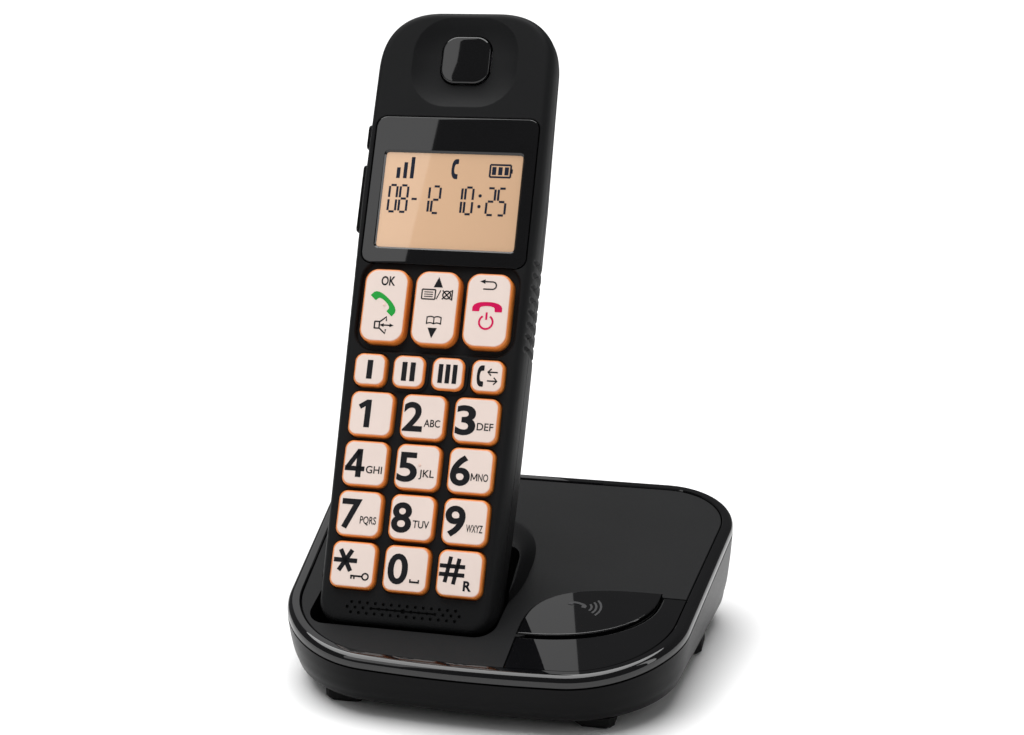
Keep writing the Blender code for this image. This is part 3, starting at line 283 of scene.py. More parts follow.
def wrapped(rings, ends="flat"):
    """A stack of equal closed rings as (points, faces): quads between rings, and the ends closed.

    Ends are "flat", one face each; "ladder", quads from side to side of a ring whose halves mirror each
    other; or "loop", where the last ring meets the first.
    """
    rings = np.asarray(rings, float)
    count, size = rings.shape[:2]
    rows = np.arange(count if ends == "loop" else count - 1)[:, None]
    columns = np.arange(size)[None, :]
    ahead = (columns + 1) % size
    above = (rows + 1) % count
    quads = np.stack(
        [rows * size + columns, rows * size + ahead, above * size + ahead, above * size + columns], -1
    )
    faces = quads.reshape(-1, 4).tolist()
    last = (count - 1) * size
    if ends == "flat":
        faces += [list(range(size))[::-1], list(range(last, last + size))]
    if ends == "ladder":
        i = np.arange(size // 2 - 1)
        rungs = np.stack([i, i + 1, size - 2 - i, size - 1 - i], -1)
        faces += rungs.tolist() + (rungs + last).tolist()
    return rings.reshape(-1, 3), faces


def prism(outline, low, high):
    """A plan carried straight from one height to another, both ends flat."""
    return wrapped([lifted(outline, low), lifted(outline, high)])


def joined(parts):
    """Several (points, faces) as one, each part's faces counted on from the points before it."""
    points, faces, start = [], [], 0
    for part_points, part_faces in parts:
        points.append(part_points)
        faces += [[index + start for index in face] for face in part_faces]
        start += len(part_points)
    return np.concatenate(points), faces


def make_piece(name, shape, place=None, sharp=28.0, marks=None):
    """An object from (points, faces), its place in its mesh, faces outwards and edges sharp past an angle."""
    points, faces = shape
    points = place(points) if place else points
    mesh = bpy.data.meshes.new(name)
    mesh.from_pydata(points.tolist(), [], faces)
    if marks is not None:
        layer = mesh.attributes.new("top", "FLOAT", "POINT")
        layer.data.foreach_set("value", np.asarray(marks, np.float32))
    editable = bmesh.new()
    editable.from_mesh(mesh)
    bmesh.ops.recalc_face_normals(editable, faces=editable.faces)
    editable.to_mesh(mesh)
    editable.free()
    mesh.shade_smooth()
    mesh.set_sharp_from_angle(angle=math.radians(sharp))
    piece = bpy.data.objects.new(name, mesh)
    bpy.context.scene.collection.objects.link(piece)
    return piece


def shaped(piece, cutters, operation="DIFFERENCE", sharp=28.0):
    """Cuts or joins closed bodies, keeps the result as the piece's mesh and removes the bodies used."""
    for cutter in cutters:
        modifier = piece.modifiers.new(cutter.name, "BOOLEAN")
        modifier.operation = operation
        modifier.solver = "EXACT"
        modifier.object = cutter
    bpy.context.view_layer.update()
    graph = bpy.context.evaluated_depsgraph_get()
    result = bpy.data.meshes.new_from_object(piece.evaluated_get(graph))
    piece.modifiers.clear()
    piece.data = result
    for cutter in cutters:
        bpy.data.objects.remove(cutter)
    result.shade_smooth()
    result.set_sharp_from_angle(angle=math.radians(sharp))
    return piece


def settle_shading(piece):
    """Lets large flat faces decide the shading where they meet small curved ones."""
    modifier = piece.modifiers.new("even_shading", "WEIGHTED_NORMAL")
    modifier.keep_sharp = True


def fit_out(piece, body, slot_name, *nodes, look=None):
    """Gives a piece its body, its slot, the nodes that it stands for, and its slot's finish or another."""
    piece.data.materials.clear()
    piece.data.materials.append(finish(look or slot_name))
    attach(piece, body)
    if nodes:
        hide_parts(*nodes)
    return piece


# ---------------------------------------------------------------- materials


class Value:
    """A shader socket that Python arithmetic adds Math nodes to."""

    def __init__(self, recipe, socket):
        self.recipe = recipe
        self.socket = socket

    def maths(self, operation, first, second):
        """A Math node on two values, either of which may be a number."""
        return self.recipe.node("ShaderNodeMath", {"operation": operation}, {0: first, 1: second})

    def __add__(self, other):
        return self.maths("ADD", self, other)

    def __radd__(self, other):
        return self.maths("ADD", other, self)

    def __sub__(self, other):
        return self.maths("SUBTRACT", self, other)

    def __rsub__(self, other):
        return self.maths("SUBTRACT", other, self)

    def __mul__(self, other):
        return self.maths("MULTIPLY", self, other)

    def __rmul__(self, other):
        return self.maths("MULTIPLY", other, self)


class Recipe:
    """A material being put together: its nodes, and the shader that they feed."""

    def __init__(self, name):
        self.material = bpy.data.materials.new(name)
        self.material.use_nodes = True
        self.tree = self.material.node_tree
        self.shader = self.tree.nodes["Principled BSDF"]

    def node(self, kind, settings, sockets, output=0):
        """Adds a node: its type, its settings, set first, and the values or links of its sockets."""
        made = self.tree.nodes.new(kind)
        for key, value in settings.items():
            setattr(made, key, value)
        for key, value in sockets.items():
            if isinstance(value, Value):
                self.tree.links.new(value.socket, made.inputs[key])
            else:
                made.inputs[key].default_value = value
        return Value(self, made.outputs[output])

    def place(self):
        """The point's own place, in Object coordinates."""
        return self.node("ShaderNodeTexCoord", {}, {}, output=3)

    def noise(self, scale, detail=2.0):
        """Noise of a number of cells a metre, from 0 to 1."""
        return self.node("ShaderNodeTexNoise", {}, {"Vector": self.place(), "Scale": scale, "Detail": detail})

    def between(self, low, high, amount):
        """A colour that runs from one to another."""
        kind = "ShaderNodeMix"
        return self.node(kind, {"data_type": "RGBA"}, {0: amount, 6: (*low, 1.0), 7: (*high, 1.0)}, output=2)

    def bump(self, height, distance, strength=1.0):
        """A normal tilted by the slope of a height, whose full range stands for a distance."""
        sockets = {"Height": height, "Distance": distance, "Strength": strength}
        return self.node("ShaderNodeBump", {}, sockets)

    def set(self, **sockets):
        """Sets or links the shader's own sockets, named in lower case with underscores."""
        for key, value in sockets.items():
            socket = self.shader.inputs[key.replace("_", " ").title().replace("Ior", "IOR")]
            if isinstance(value, Value):
                self.tree.links.new(value.socket, socket)
            else:
                socket.default_value = value
        return self


def shade(colour, factor):
    """A colour with each channel multiplied by a factor, up to 1."""
    return tuple(min(1.0, channel * factor) for channel in colour)


def moulded(name, colour, roughness, grain=2600.0, relief=0.000035, gleam=0.11):
    """Spark-eroded plastic: a fine even grain in relief and gloss, and a slow drift of tone over the part."""
    recipe = Recipe(name)
    fine = recipe.noise(grain, 3.0)
    slow = recipe.noise(55.0)
    recipe.set(
        base_color=recipe.between(shade(colour, 0.8), shade(colour, 1.25), slow),
        roughness=roughness - 0.06 + 0.12 * fine,
        normal=recipe.bump(fine, relief, 0.45),
        specular_ior_level=gleam,
    )
    return recipe.material


def polished(name, colour, roughness):
    """Polished moulding: almost even, with faint handling haze and the slightest sink in the surface."""
    recipe = Recipe(name)
    haze = recipe.noise(140.0, 4.0)
    sink = recipe.noise(38.0)
    recipe.set(
        base_color=recipe.between(colour, shade(colour, 1.6), haze),
        roughness=roughness + 0.012 * haze,
        normal=recipe.bump(sink, 0.00002, 0.2),
        ior=1.52,
    )
    return recipe.material


def metal(name, colour, roughness, streak=900.0):
    """Plated metal with fine scratches and a slow stain."""
    recipe = Recipe(name)
    scratches = recipe.noise(streak, 6.0)
    stain = recipe.noise(220.0)
    recipe.set(
        base_color=recipe.between(shade(colour, 0.75), colour, stain),
        roughness=roughness + 0.22 * scratches,
        normal=recipe.bump(scratches, 0.00001, 0.5),
        metallic=1.0,
    )
    return recipe.material


def key_finish(colours):
    """Key caps: pale tops that turn to translucent orange round their edges and down their sides, with a faint
    painted glow that brightens them as more light would.
    """
    recipe = Recipe("key_cap")
    top = recipe.node("ShaderNodeAttribute", {"attribute_name": "top"}, {}, output=2)
    cloud = recipe.noise(160.0)
    pale = recipe.between(shade(colours.key_top, 0.94), colours.key_top, cloud)
    edge = recipe.between(colours.key_edge, shade(colours.key_edge, 1.25), cloud)
    mixed = recipe.node("ShaderNodeMix", {"data_type": "RGBA"}, {0: top, 6: edge, 7: pale}, output=2)
    recipe.set(base_color=mixed, roughness=0.34 + 0.08 * cloud, specular_ior_level=0.4)
    # Painted light: the caps glow faintly in their own colours, brightening them as if more light fell on them.
    recipe.set(emission_color=mixed, emission_strength=0.10)
    return recipe.material


def screen_finish(colours):
    """The lit display: an amber field a little brighter at one side, slightly clouded, under clear glass."""
    recipe = Recipe("display_field")
    spread = recipe.node("ShaderNodeSeparateXYZ", {}, {0: recipe.place()}, output=0)
    side = 0.5 - (spread - HANDSET_X) * 20.0
    cloud = recipe.noise(90.0)
    lit = recipe.between(shade(colours.screen, 0.86), shade(colours.screen, 1.08), side * 0.8 + cloud * 0.2)
    recipe.set(base_color=lit, emission_color=lit, emission_strength=0.18, roughness=0.32 + 0.05 * cloud)
    recipe.set(coat_weight=1.0, coat_roughness=0.02)
    return recipe.material


def board_finish():
    """A circuit board: green mask with paler tracks where stretched cells meet."""
    recipe = Recipe("circuit_board")
    cells = recipe.node(
        "ShaderNodeTexVoronoi", {"feature": "DISTANCE_TO_EDGE"}, {"Vector": recipe.place(), "Scale": 420.0}
    )
    track = recipe.node("ShaderNodeMath", {"operation": "LESS_THAN"}, {0: cells, 1: 0.05})
    recipe.set(
        base_color=recipe.between((0.008, 0.075, 0.022), (0.035, 0.19, 0.06), track),
        roughness=0.42 - 0.10 * track,
        normal=recipe.bump(track, 0.00004, 0.4),
    )
    return recipe.material


def cell_finish():
    """A cell's wrap: green film with bands of paler tone across its length."""
    recipe = Recipe("cell_wrap")
    bands = recipe.node(
        "ShaderNodeTexWave", {"bands_direction": "Z"},
        {"Vector": recipe.place(), "Scale": 26.0, "Distortion": 0.0},
    )
    haze = recipe.noise(260.0)
    recipe.set(
        base_color=recipe.between((0.02, 0.16, 0.07), (0.10, 0.34, 0.18), bands),
        roughness=0.24 + 0.14 * haze,
    )
    return recipe.material


class TelephoneColours(bpy.types.PropertyGroup):
    """Colours of the visible finishes, as linear RGB."""

    housing: FloatVectorProperty(
        name="Housing", description="Matte covers of the handset and base", subtype="COLOR", size=3,
        default=(0.0072, 0.0074, 0.0079), min=0.0, max=1.0,
    )
    gloss: FloatVectorProperty(
        name="Gloss", description="Display panel, trim band and corner panel", subtype="COLOR", size=3,
        default=(0.0022, 0.0022, 0.0026), min=0.0, max=1.0,
    )
    shell: FloatVectorProperty(
        name="Bottom shell", description="Satin shell under the trim band", subtype="COLOR", size=3,
        default=(0.0030, 0.0030, 0.0033), min=0.0, max=1.0,
    )
    key_top: FloatVectorProperty(
        name="Key top", description="Pale tops of the keys", subtype="COLOR", size=3,
        default=(0.76, 0.635, 0.575), min=0.0, max=1.0,
    )
    key_edge: FloatVectorProperty(
        name="Key edge", description="Orange rims and sides of the keys", subtype="COLOR", size=3,
        default=(0.56, 0.165, 0.028), min=0.0, max=1.0,
    )
    screen: FloatVectorProperty(
        name="Screen", description="Lit field of the display", subtype="COLOR", size=3,
        default=(0.60, 0.375, 0.222), min=0.0, max=1.0,
    )
    ink: FloatVectorProperty(
        name="Ink", description="Printed digits and symbols", subtype="COLOR", size=3,
        default=(0.010, 0.010, 0.012), min=0.0, max=1.0,
    )
    green_ink: FloatVectorProperty(
        name="Green ink", description="Talk symbol", subtype="COLOR", size=3,
        default=(0.02, 0.34, 0.05), min=0.0, max=1.0,
    )
    red_ink: FloatVectorProperty(
        name="Red ink", description="Off symbol", subtype="COLOR", size=3,
        default=(0.60, 0.005, 0.085), min=0.0, max=1.0,
    )


class TelephoneSizes(bpy.types.PropertyGroup):
    """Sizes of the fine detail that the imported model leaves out."""

    key_fillet: FloatProperty(
        name="Key fillet", description="Radius round the top of each key", unit="LENGTH", default=0.00065
    )
    well_chamfer: FloatProperty(
        name="Well chamfer", description="Broken edge round each key's hole", unit="LENGTH", default=0.00018
    )
    ink_height: FloatProperty(
        name="Ink height", description="Thickness of the printed symbols", unit="LENGTH", default=0.00004
    )
    ridge_depth: FloatProperty(
        name="Grip depth", description="Depth of the grip grooves on the sides", unit="LENGTH", default=0.0010
    )
    ridge_pitch: FloatProperty(
        name="Grip pitch", description="Distance between the grip grooves", unit="LENGTH", default=0.0033
    )
    ridge_count: IntProperty(name="Grip count", description="Grip grooves on each side", default=8)
    dimple_radius: FloatProperty(
        name="Dimple radius", description="Radius of the microphone's dimples", unit="LENGTH", default=0.00042
    )


class TelephoneStage(bpy.types.PropertyGroup):
    """Camera and light."""

    lens: FloatProperty(name="Lens", description="Focal length", subtype="DISTANCE_CAMERA", default=56.25)
    azimuth: FloatProperty(
        name="Azimuth", description="Camera's angle to the right of the front", subtype="ANGLE",
        default=math.radians(12.88),
    )
    elevation: FloatProperty(
        name="Elevation", description="Camera's angle above the horizon", subtype="ANGLE",
        default=math.radians(14.81),
    )
    camera_place: FloatVectorProperty(
        name="Camera", description="Where the camera stands", subtype="TRANSLATION", size=3,
        default=(0.0918, -0.39155, 0.1853),
    )
    floor_radius: FloatProperty(name="Floor", description="Radius of the floor", unit="LENGTH", default=14.0)


FINISHES = {}
SLOT_RECIPES = {
    "matte_black": lambda c: moulded("housing_matte", c.housing, 0.56),
    "gloss_black": lambda c: polished("housing_gloss", c.gloss, 0.010),
    "satin_black": lambda c: moulded("shell_satin", c.shell, 0.32, 1900.0, 0.00002, 0.08),
    "key_peach": key_finish,
    "lcd_amber": screen_finish,
    "silicone": lambda c: moulded("key_mat", (0.50, 0.20, 0.06), 0.58, 900.0),
    "board_green": lambda c: board_finish(),
    "rubber": lambda c: moulded("foot_rubber", (0.008, 0.008, 0.008), 0.82, 1500.0, 0.00006),
    "steel": lambda c: metal("steel", (0.56, 0.56, 0.57), 0.22),
    "nickel": lambda c: metal("nickel", (0.72, 0.66, 0.50), 0.16),
    "cell_wrap": lambda c: cell_finish(),
    "ink": lambda c: moulded("ink_black", c.ink, 0.42, 700.0, 0.000004),
    "green_ink": lambda c: moulded("ink_green", c.green_ink, 0.40, 700.0, 0.000004),
    "red_ink": lambda c: moulded("ink_red", c.red_ink, 0.40, 700.0, 0.000004),
    "segments": lambda c: moulded("display_segments", (0.012, 0.016, 0.030), 0.35, 700.0, 0.000002),
    "symbol": lambda c: moulded("engraved_symbol", (0.05, 0.05, 0.052), 0.45, 900.0, 0.000004),
}


def finish(name):
    """The finish of that name, made when it is first asked for."""
    if name not in FINISHES:
        FINISHES[name] = SLOT_RECIPES[name](bpy.context.scene.telephone_colours)
    return FINISHES[name]


# ---------------------------------------------------------------- handset covers


def half_width(y):
    """Half the face's width: straight from the bottom to the display, then straight to the top."""
    return np.interp(y, [0.0, PANEL_STATION, FACE_TOP], [HALF_BOTTOM, HALF_PANEL, HALF_TOP])


def rear_depth(y):
    """How far behind the face the handset's back lies: a smooth curve through the stations."""
    return eased([s for s, _ in REAR_STATIONS], [d for _, d in REAR_STATIONS], y)


def side_stations():
    """Heights along the straight of a side, close together over the grip grooves."""
    low = FACE_BOTTOM + BOTTOM_CORNER
    high = FACE_TOP - TOP_CORNER
    fine_low, fine_high = 0.0735, 0.1010
    below = np.linspace(low, fine_low, 16)[1:-1]
    above = np.linspace(fine_high, high, 16)[1:-1]
    return np.concatenate([below, np.linspace(fine_low, fine_high, 105), above])


def grip(y, sizes):
    """Grip grooves: a cosine every pitch, eased into rounded troughs between flat lands."""
    run = (GRIP_TOP - y) / sizes.ridge_pitch
    inside = (run > 0) & (run < sizes.ridge_count)
    wave = 0.5 - 0.5 * np.cos(2 * np.pi * run)
    return sizes.ridge_depth * np.where(inside, smooth_step((wave - 0.42) / 0.42), 0.0)


def handset_ring(grow, depth, grooved, sizes):
    """The face's outline grown by a distance, set back by a depth, with a share of the grooves pressed in.

    Right half upwards: bottom corner arc, side, top corner arc. The left half is its mirror, downwards.
    """
    low = BOTTOM_CORNER + grow
    top = TOP_CORNER + grow
    y_low = FACE_BOTTOM + BOTTOM_CORNER
    y_high = FACE_TOP - TOP_CORNER
    first = np.radians(np.linspace(-90, 0, 13))
    last = np.radians(np.linspace(0, 90, 29))
    y = side_stations()
    bottom = np.stack([half_width(y_low) + grow - low + low * np.cos(first), y_low + low * np.sin(first)], -1)
    side = np.stack([half_width(y) + grow - grooved * grip(y, sizes), y], -1)
    fuller = 2 / 2.45
    arch = np.stack([half_width(y_high) + grow - top + top * np.cos(last) ** fuller,
                     y_high + top * np.sin(last) ** fuller], -1)
    right = np.concatenate([bottom, side, arch])
    outline = np.concatenate([right, right[::-1] * [-1, 1]])
    return lifted(outline, -depth(outline[:, 1]))


def level(depth):
    """A depth that is the same at every height, as a function of the height."""
    return lambda y: np.full(len(y), float(depth))


def key_corner(node):
    """A key's corner radius: the function keys, over 15 mm tall, have a larger one."""
    low, high = handset_box(node)
    return TALL_KEY_CORNER if high[1] - low[1] > 0.015 else KEY_CORNER


def key_nodes():
    """The names of the keys on the face, in alphabetical order."""
    return sorted(name for name in frame["nodes"] if name.startswith("key_"))


def opening_plan(low, high, corner):
    """A box's rounded outline with the fit round it, as a function of a further growth."""
    wide, tall = (high - low)[:2] + 2 * FIT
    middle = (low + high)[:2] / 2
    return lambda grow: rounded(wide + 2 * grow, tall + 2 * grow, corner + grow, middle)


def hole(outline_of, low, chamfer, name):
    """A cutter through the face whose walls flare at the surface: outline_of(growth) gives its plan."""
    steps = ((0.0, low), (0.0, -chamfer), (chamfer, 0.0), (chamfer * 3, chamfer * 2))
    rings = [lifted(outline_of(grow), z) for grow, z in steps]
    return make_piece(name, wrapped(rings), from_handset)


def microphone_cutters(sizes):
    """Three rows of dimples, the middle one half a pitch over, and a slot with a wider middle."""
    pitch, row_pitch = 0.0021, 0.0013
    dimples = []
    for row, count in ((-1, 14), (0, 15), (1, 14)):
        for x in (np.arange(count) - (count - 1) / 2) * pitch:
            plan = circle(sizes.dimple_radius, (x, MIC_ROW + row * row_pitch), count=11)
            dimples.append(prism(plan, -0.0006, 0.0005))
    slot = prism(rounded(0.0166, 0.00042, 0.0002, (0.0, MIC_ROW), 3), -0.0009, 0.0006)
    middle = prism(rounded(0.0011, 0.0011, 0.0003, (0.0, MIC_ROW), 3), -0.0010, 0.0007)
    shapes = {"dimple_cutter": joined(dimples), "slot_cutter_0": slot, "slot_cutter_1": middle}
    return [make_piece(name, shape, from_handset) for name, shape in shapes.items()]


def build_front_cover(sizes):
    """The face: edge profile swept round the outline, hollow behind, with every hole cut through."""
    rings = [handset_ring(-0.0015, level(0.0), 0.0, sizes)]
    for grow, depth in along(FACE_EDGE, 15):
        rings.append(handset_ring(grow, level(depth), smooth_step((depth - 0.0016) / 0.0018), sizes))
    rings.append(handset_ring(SIDE_BULGE - SHELL_WALL, level(SEAM_DEPTH), 0.0, sizes))
    rings.append(handset_ring(-0.0014, level(FACE_WALL), 0.0, sizes))
    cover = make_piece("front_cover", wrapped(rings), from_handset)

    chamfer = sizes.well_chamfer
    cutters = []
    for node in key_nodes():
        plan = opening_plan(*handset_box(node), key_corner(node) + FIT)
        cutters.append(hole(plan, -0.0045, chamfer, f"well_{node}"))

    plan = opening_plan(*handset_box("display_window"), WINDOW_CORNER + FIT)
    cutters.append(hole(plan, -0.0013, chamfer, "display_recess"))
    view = rounded(VIEW_WIDTH, VIEW_HEIGHT, 0.0012, (0.0, view_centre()))
    cutters.append(make_piece("view_cutter", prism(view, -0.004, -0.001), from_handset))

    low, high = handset_box("earpiece_insert")
    ear = (low + high)[:2] / 2
    size = (high - low)[0] + 2 * FIT
    share = np.linspace(0.0, 1.0, 15)
    rings = []
    for s in share[::-1]:
        grow = 0.45 + 0.57 * s
        fall = 0.00012 - 0.0019 * (1 - s**2.4)
        plan = rounded(0.0296 * grow, 0.0256 * grow, 0.0106 * grow, ear - [0.0, 0.0012 * s], 16)
        rings.append(lifted(plan, fall))
    cutters.append(make_piece("ear_dish", wrapped(rings), from_handset))
    plan = rounded(size, size, 0.0045, ear, 10)
    cutters.append(make_piece("ear_hole", prism(plan, -0.004, 0.001), from_handset))

    wide, tall, corner, row = FUNCTION_POCKET
    rings = []
    for grow, z in POCKET_SECTION:
        plan = rounded(wide + 2 * grow, tall + 2 * grow, corner + grow, (0.0, row), 12)
        rings.append(lifted(plan, z))
    cutters.append(make_piece("function_pocket", wrapped(rings), from_handset))

    for node in ("volume_key", "tone_key"):
        low, high = handset_box(node)
        across = rounded(high[1] - low[1] + 2 * FIT, high[2] - low[2] + 2 * FIT, 0.0006,
                         ((low[1] + high[1]) / 2, -SIDE_KEY_DEPTH), 4)
        rings = [sideways(across, x) for x in (low[0] - 0.002, high[0] + FIT)]
        cutters.append(make_piece(f"slot_{node}", wrapped(rings), from_handset))
    cutters += microphone_cutters(sizes)
    shaped(cover, cutters)
    settle_shading(cover)
    fit_out(cover, "handset", "matte_black", "handset_front_cover")


def view_centre():
    """How far up the face the middle of the display lies: halfway up its node."""
    low, high = handset_box("lcd_panel")
    return (low[1] + high[1]) / 2


def rear_ring(grow, share, skin, grooved, sizes):
    """A ring of the rear cover: share 0 at the seam and 1 at the back, moved in by a skin."""
    start = SEAM_DEPTH + SEAM_GAP
    return handset_ring(
        grow - skin, lambda y: start + (rear_depth(y) - skin - start) * share, grooved, sizes
    )


def build_rear_cover(sizes):
    """The back: its section runs from the seam round to the back, whose depth follows the stations."""
    profile = along(REAR_LEVELS, 14)
    outer = []
    for grow, share in profile[::-1]:
        outer.append(rear_ring(grow, share, 0.0, 1 - smooth_step((share - 0.62) / 0.30), sizes))
    inner = [rear_ring(grow, share, SHELL_WALL, 0.0, sizes) for grow, share in profile[::3]]
    cover = make_piece("rear_cover", wrapped(outer + inner, "ladder"), from_handset, 30)

    low, high, half = BAY
    bay = rounded(2 * (half + FIT), high - low + 2 * FIT, 0.0020, (0.0, (low + high) / 2), 5)
    floor = -float(rear_depth(np.array([high]))[0]) + 0.003
    cutters = [make_piece("bay_cutter", prism(bay, -FAR, floor), from_handset)]
    for side in (-1, 1):
        pad = rounded(0.0066, 0.0046, 0.0005, (side * PAD_SIDE, -PAD_DEPTH), 3)
        rings = [upright(pad, y) for y in (-0.003, 0.004)]
        cutters.append(make_piece(f"pad_cutter_{side + 1}", wrapped(rings), from_handset))
        screw = circle(0.0026, (side * 0.0125, 0.019), count=33)
        cutters.append(
            make_piece(f"screw_cutter_{side + 1}", prism(screw, -FAR, -0.0195), from_handset)
        )
    for row in (-1, 0, 1):
        slot = rounded(0.0120, 0.0016, 0.00078, (0.0, 0.1175 + row * 0.0034), 6)
        cutters.append(make_piece(f"grille_cutter_{row + 1}", prism(slot, -FAR, -0.013), from_handset))
    shaped(cover, cutters, sharp=30)
    settle_shading(cover)
    fit_out(cover, "handset", "matte_black", "handset_rear_cover")


def build_battery_cover():
    """A plate on a grid: its height is the back's, less a rounded edge and a sine's grip lines at the top."""
    low, high, half = BAY
    y = np.linspace(low, high, 161)
    x = np.linspace(-half, half, 49)
    across, up = np.meshgrid(x, y)
    depth = rear_depth(up)
    edge = np.minimum(half - np.abs(across), np.minimum(up - low, high - up))
    rounding = 0.0004 * (1 - smooth_step(edge / 0.0008))
    grip_low, grip_high, grip_half = DOOR_GRIP
    zone = smooth_step((grip_half - np.abs(across)) / 0.0012) * (up > grip_low) * (up < grip_high)
    wave = np.sin(2 * np.pi * (up - grip_low) / DOOR_GRIP_PITCH)
    lines = DOOR_GRIP_DEPTH * np.clip(wave, 0.0, 1.0) * zone
    outer = np.stack([across, up, -depth + rounding + lines], -1)
    inner = np.stack([across, up, -depth + SHELL_WALL], -1)
    columns = len(x)
    rows = len(y)
    index = np.arange(rows * columns).reshape(rows, columns)
    quads = np.stack([index[:-1, :-1], index[:-1, 1:], index[1:, 1:], index[1:, :-1]], -1).reshape(-1, 4)
    border = np.concatenate([index[0, :-1], index[:-1, -1], index[-1, :0:-1], index[:0:-1, 0]])
    ahead = np.roll(border, -1)
    walls = np.stack([border, ahead, ahead + rows * columns, border + rows * columns], -1)
    points = np.concatenate([outer.reshape(-1, 3), inner.reshape(-1, 3)])
    faces = quads.tolist() + (quads + rows * columns).tolist() + walls.tolist()
    cover = make_piece("battery_door", (points, faces), from_handset)
    fit_out(cover, "battery_cover", "matte_black", "battery_cover")


# ---------------------------------------------------------------- keys and their symbols


def build_key_caps(sizes):
    """Key caps: a rounded rectangle carried up the wall and round a quarter circle onto a flat top."""
    fillet = sizes.key_fillet
    for node in key_nodes():
        low, high = handset_box(node)
        wide, tall = (high - low)[:2]
        middle = (low + high)[:2] / 2
        corner = key_corner(node)
        turns = np.radians(np.linspace(0, 90, 9))
        inset = np.r_[0.0, fillet * (1 - np.cos(turns)), fillet + 0.0002, fillet + 0.0006]
        height = np.r_[low[2], high[2] - fillet + fillet * np.sin(turns), high[2], high[2]]
        rings = []
        for step, z in zip(inset, height):
            plan = rounded(wide - 2 * step, tall - 2 * step, corner - 0.6 * step, middle, 9)
            rings.append(lifted(plan, z))
        rim = smooth_step((inset / fillet - 0.45) / 0.55)
        marks = np.repeat(rim, len(rings[0]))
        cap = make_piece(f"cap_{node}", wrapped(rings), from_handset, 35, marks)
        fit_out(cap, node, "key_peach", node)


def plate(outline, thickness):
    """A flat body of an outline, resting on height 0."""
    return prism(outline, 0.0, thickness)


def stroke(path, width, thickness, closed=False):
    """A line of even width: the path moved half the width to each side along its normals."""
    path = np.asarray(path, float)
    if closed:
        ahead = np.roll(path, -1, 0) - np.roll(path, 1, 0)
    else:
        ahead = np.gradient(path, axis=0)
    normal = np.stack([-ahead[:, 1], ahead[:, 0]], -1)
    normal *= width / 2 / np.linalg.norm(normal, axis=1, keepdims=True)
    left, right = path + normal, path - normal
    rings = np.stack(
        [lifted(left, 0.0), lifted(right, 0.0), lifted(right, thickness), lifted(left, thickness)], 1
    )
    return wrapped(rings, "loop" if closed else "flat")


def moved(shape, x, y, angle=0.0, size=1.0):
    """A flat body sized and turned in its plane, then moved."""
    points, faces = shape
    plan = turned(points[:, :2] * size, angle) + [x, y]
    return np.column_stack([plan, points[:, 2]]), faces


def lettering(text, height, thickness, weight=0.0, widest=1.0, narrowest=0.0):
    """Letters as closed flat bodies: middle of the line at x = 0 and half the capitals' height at y = 0."""
    capital = 0.7
    curve = bpy.data.curves.new("lettering", "FONT")
    curve.body = text
    curve.offset = weight
    curve.extrude = 0.5
    curve.resolution_u = 5
    holder = bpy.data.objects.new("lettering", curve)
    bpy.context.scene.collection.objects.link(holder)
    bpy.context.view_layer.update()
    graph = bpy.context.evaluated_depsgraph_get()
    mesh = bpy.data.meshes.new_from_object(holder.evaluated_get(graph))
    editable = bmesh.new()
    editable.from_mesh(mesh)
    bmesh.ops.remove_doubles(editable, verts=editable.verts, dist=0.0001)
    editable.to_mesh(mesh)
    editable.free()
    points = vertex_places(mesh)
    faces = [list(face.vertices) for face in mesh.polygons]
    bpy.data.objects.remove(holder)
    bpy.data.curves.remove(curve)
    bpy.data.meshes.remove(mesh)
    scale = height / capital
    points[:, 0] -= (points[:, 0].min() + points[:, 0].max()) / 2
    points[:, 1] -= capital / 2
    natural = scale * 2 * points[:, 0].max()
    points[:, :2] *= [scale * max(min(1.0, widest / natural), narrowest / natural), scale]
    points[:, 2] = (points[:, 2] > 0) * thickness
    return points, faces


def receiver(size, thickness):
    """A telephone handset sign: a thin arch with a deeper pad at each end, opening downwards."""
    half = np.array([
        (0.0, 0.160), (0.12, 0.157), (0.24, 0.143), (0.36, 0.110), (0.45, 0.055), (0.495, -0.020),
        (0.50, -0.150), (0.485, -0.165), (0.275, -0.165), (0.255, -0.150), (0.245, -0.045), (0.20, -0.005),
        (0.10, 0.020), (0.0, 0.026),
    ])
    outline = np.concatenate([half, half[-2:0:-1] * [-1, 1]])
    return plate(outline * size, thickness)


def arrow(x, y, length, width, head, thickness, angle=0.0):
    """An arrow to the right: a line and an open head of two lines."""
    line = stroke([(-length / 2, 0), (length / 2, 0)], width, thickness)
    wing = [(length / 2 - head, head), (length / 2, 0), (length / 2 - head, -head)]
    return [moved(line, x, y, angle), moved(stroke(wing, width, thickness), x, y, angle)]


def triangle(size, thickness, up=1):
    """A solid triangle a size wide and 1.12 of it tall, pointing up or down."""
    return plate(np.array([(-0.5, -0.5 * up), (0.5, -0.5 * up), (0.0, 0.62 * up)])[::up] * size, thickness)


def box_line(width, height, line, thickness):
    """A rectangle drawn as four lines, from each corner to the next."""
    corners = np.array([(-1, -1), (1, -1), (1, 1), (-1, 1)]) * [width / 2, height / 2]
    sides = [stroke([corners[i - 1], corners[i]], line, thickness) for i in range(4)]
    return sides


def power_sign(radius, line, thickness):
    """A circle open at the top by 64 degrees, and an upright line through the opening."""
    ring = stroke(circle(radius, (0, 0), 122, 418, 40), line, thickness)
    return [ring, stroke([(0, radius * 0.35), (0, radius * 1.45)], line, thickness)]


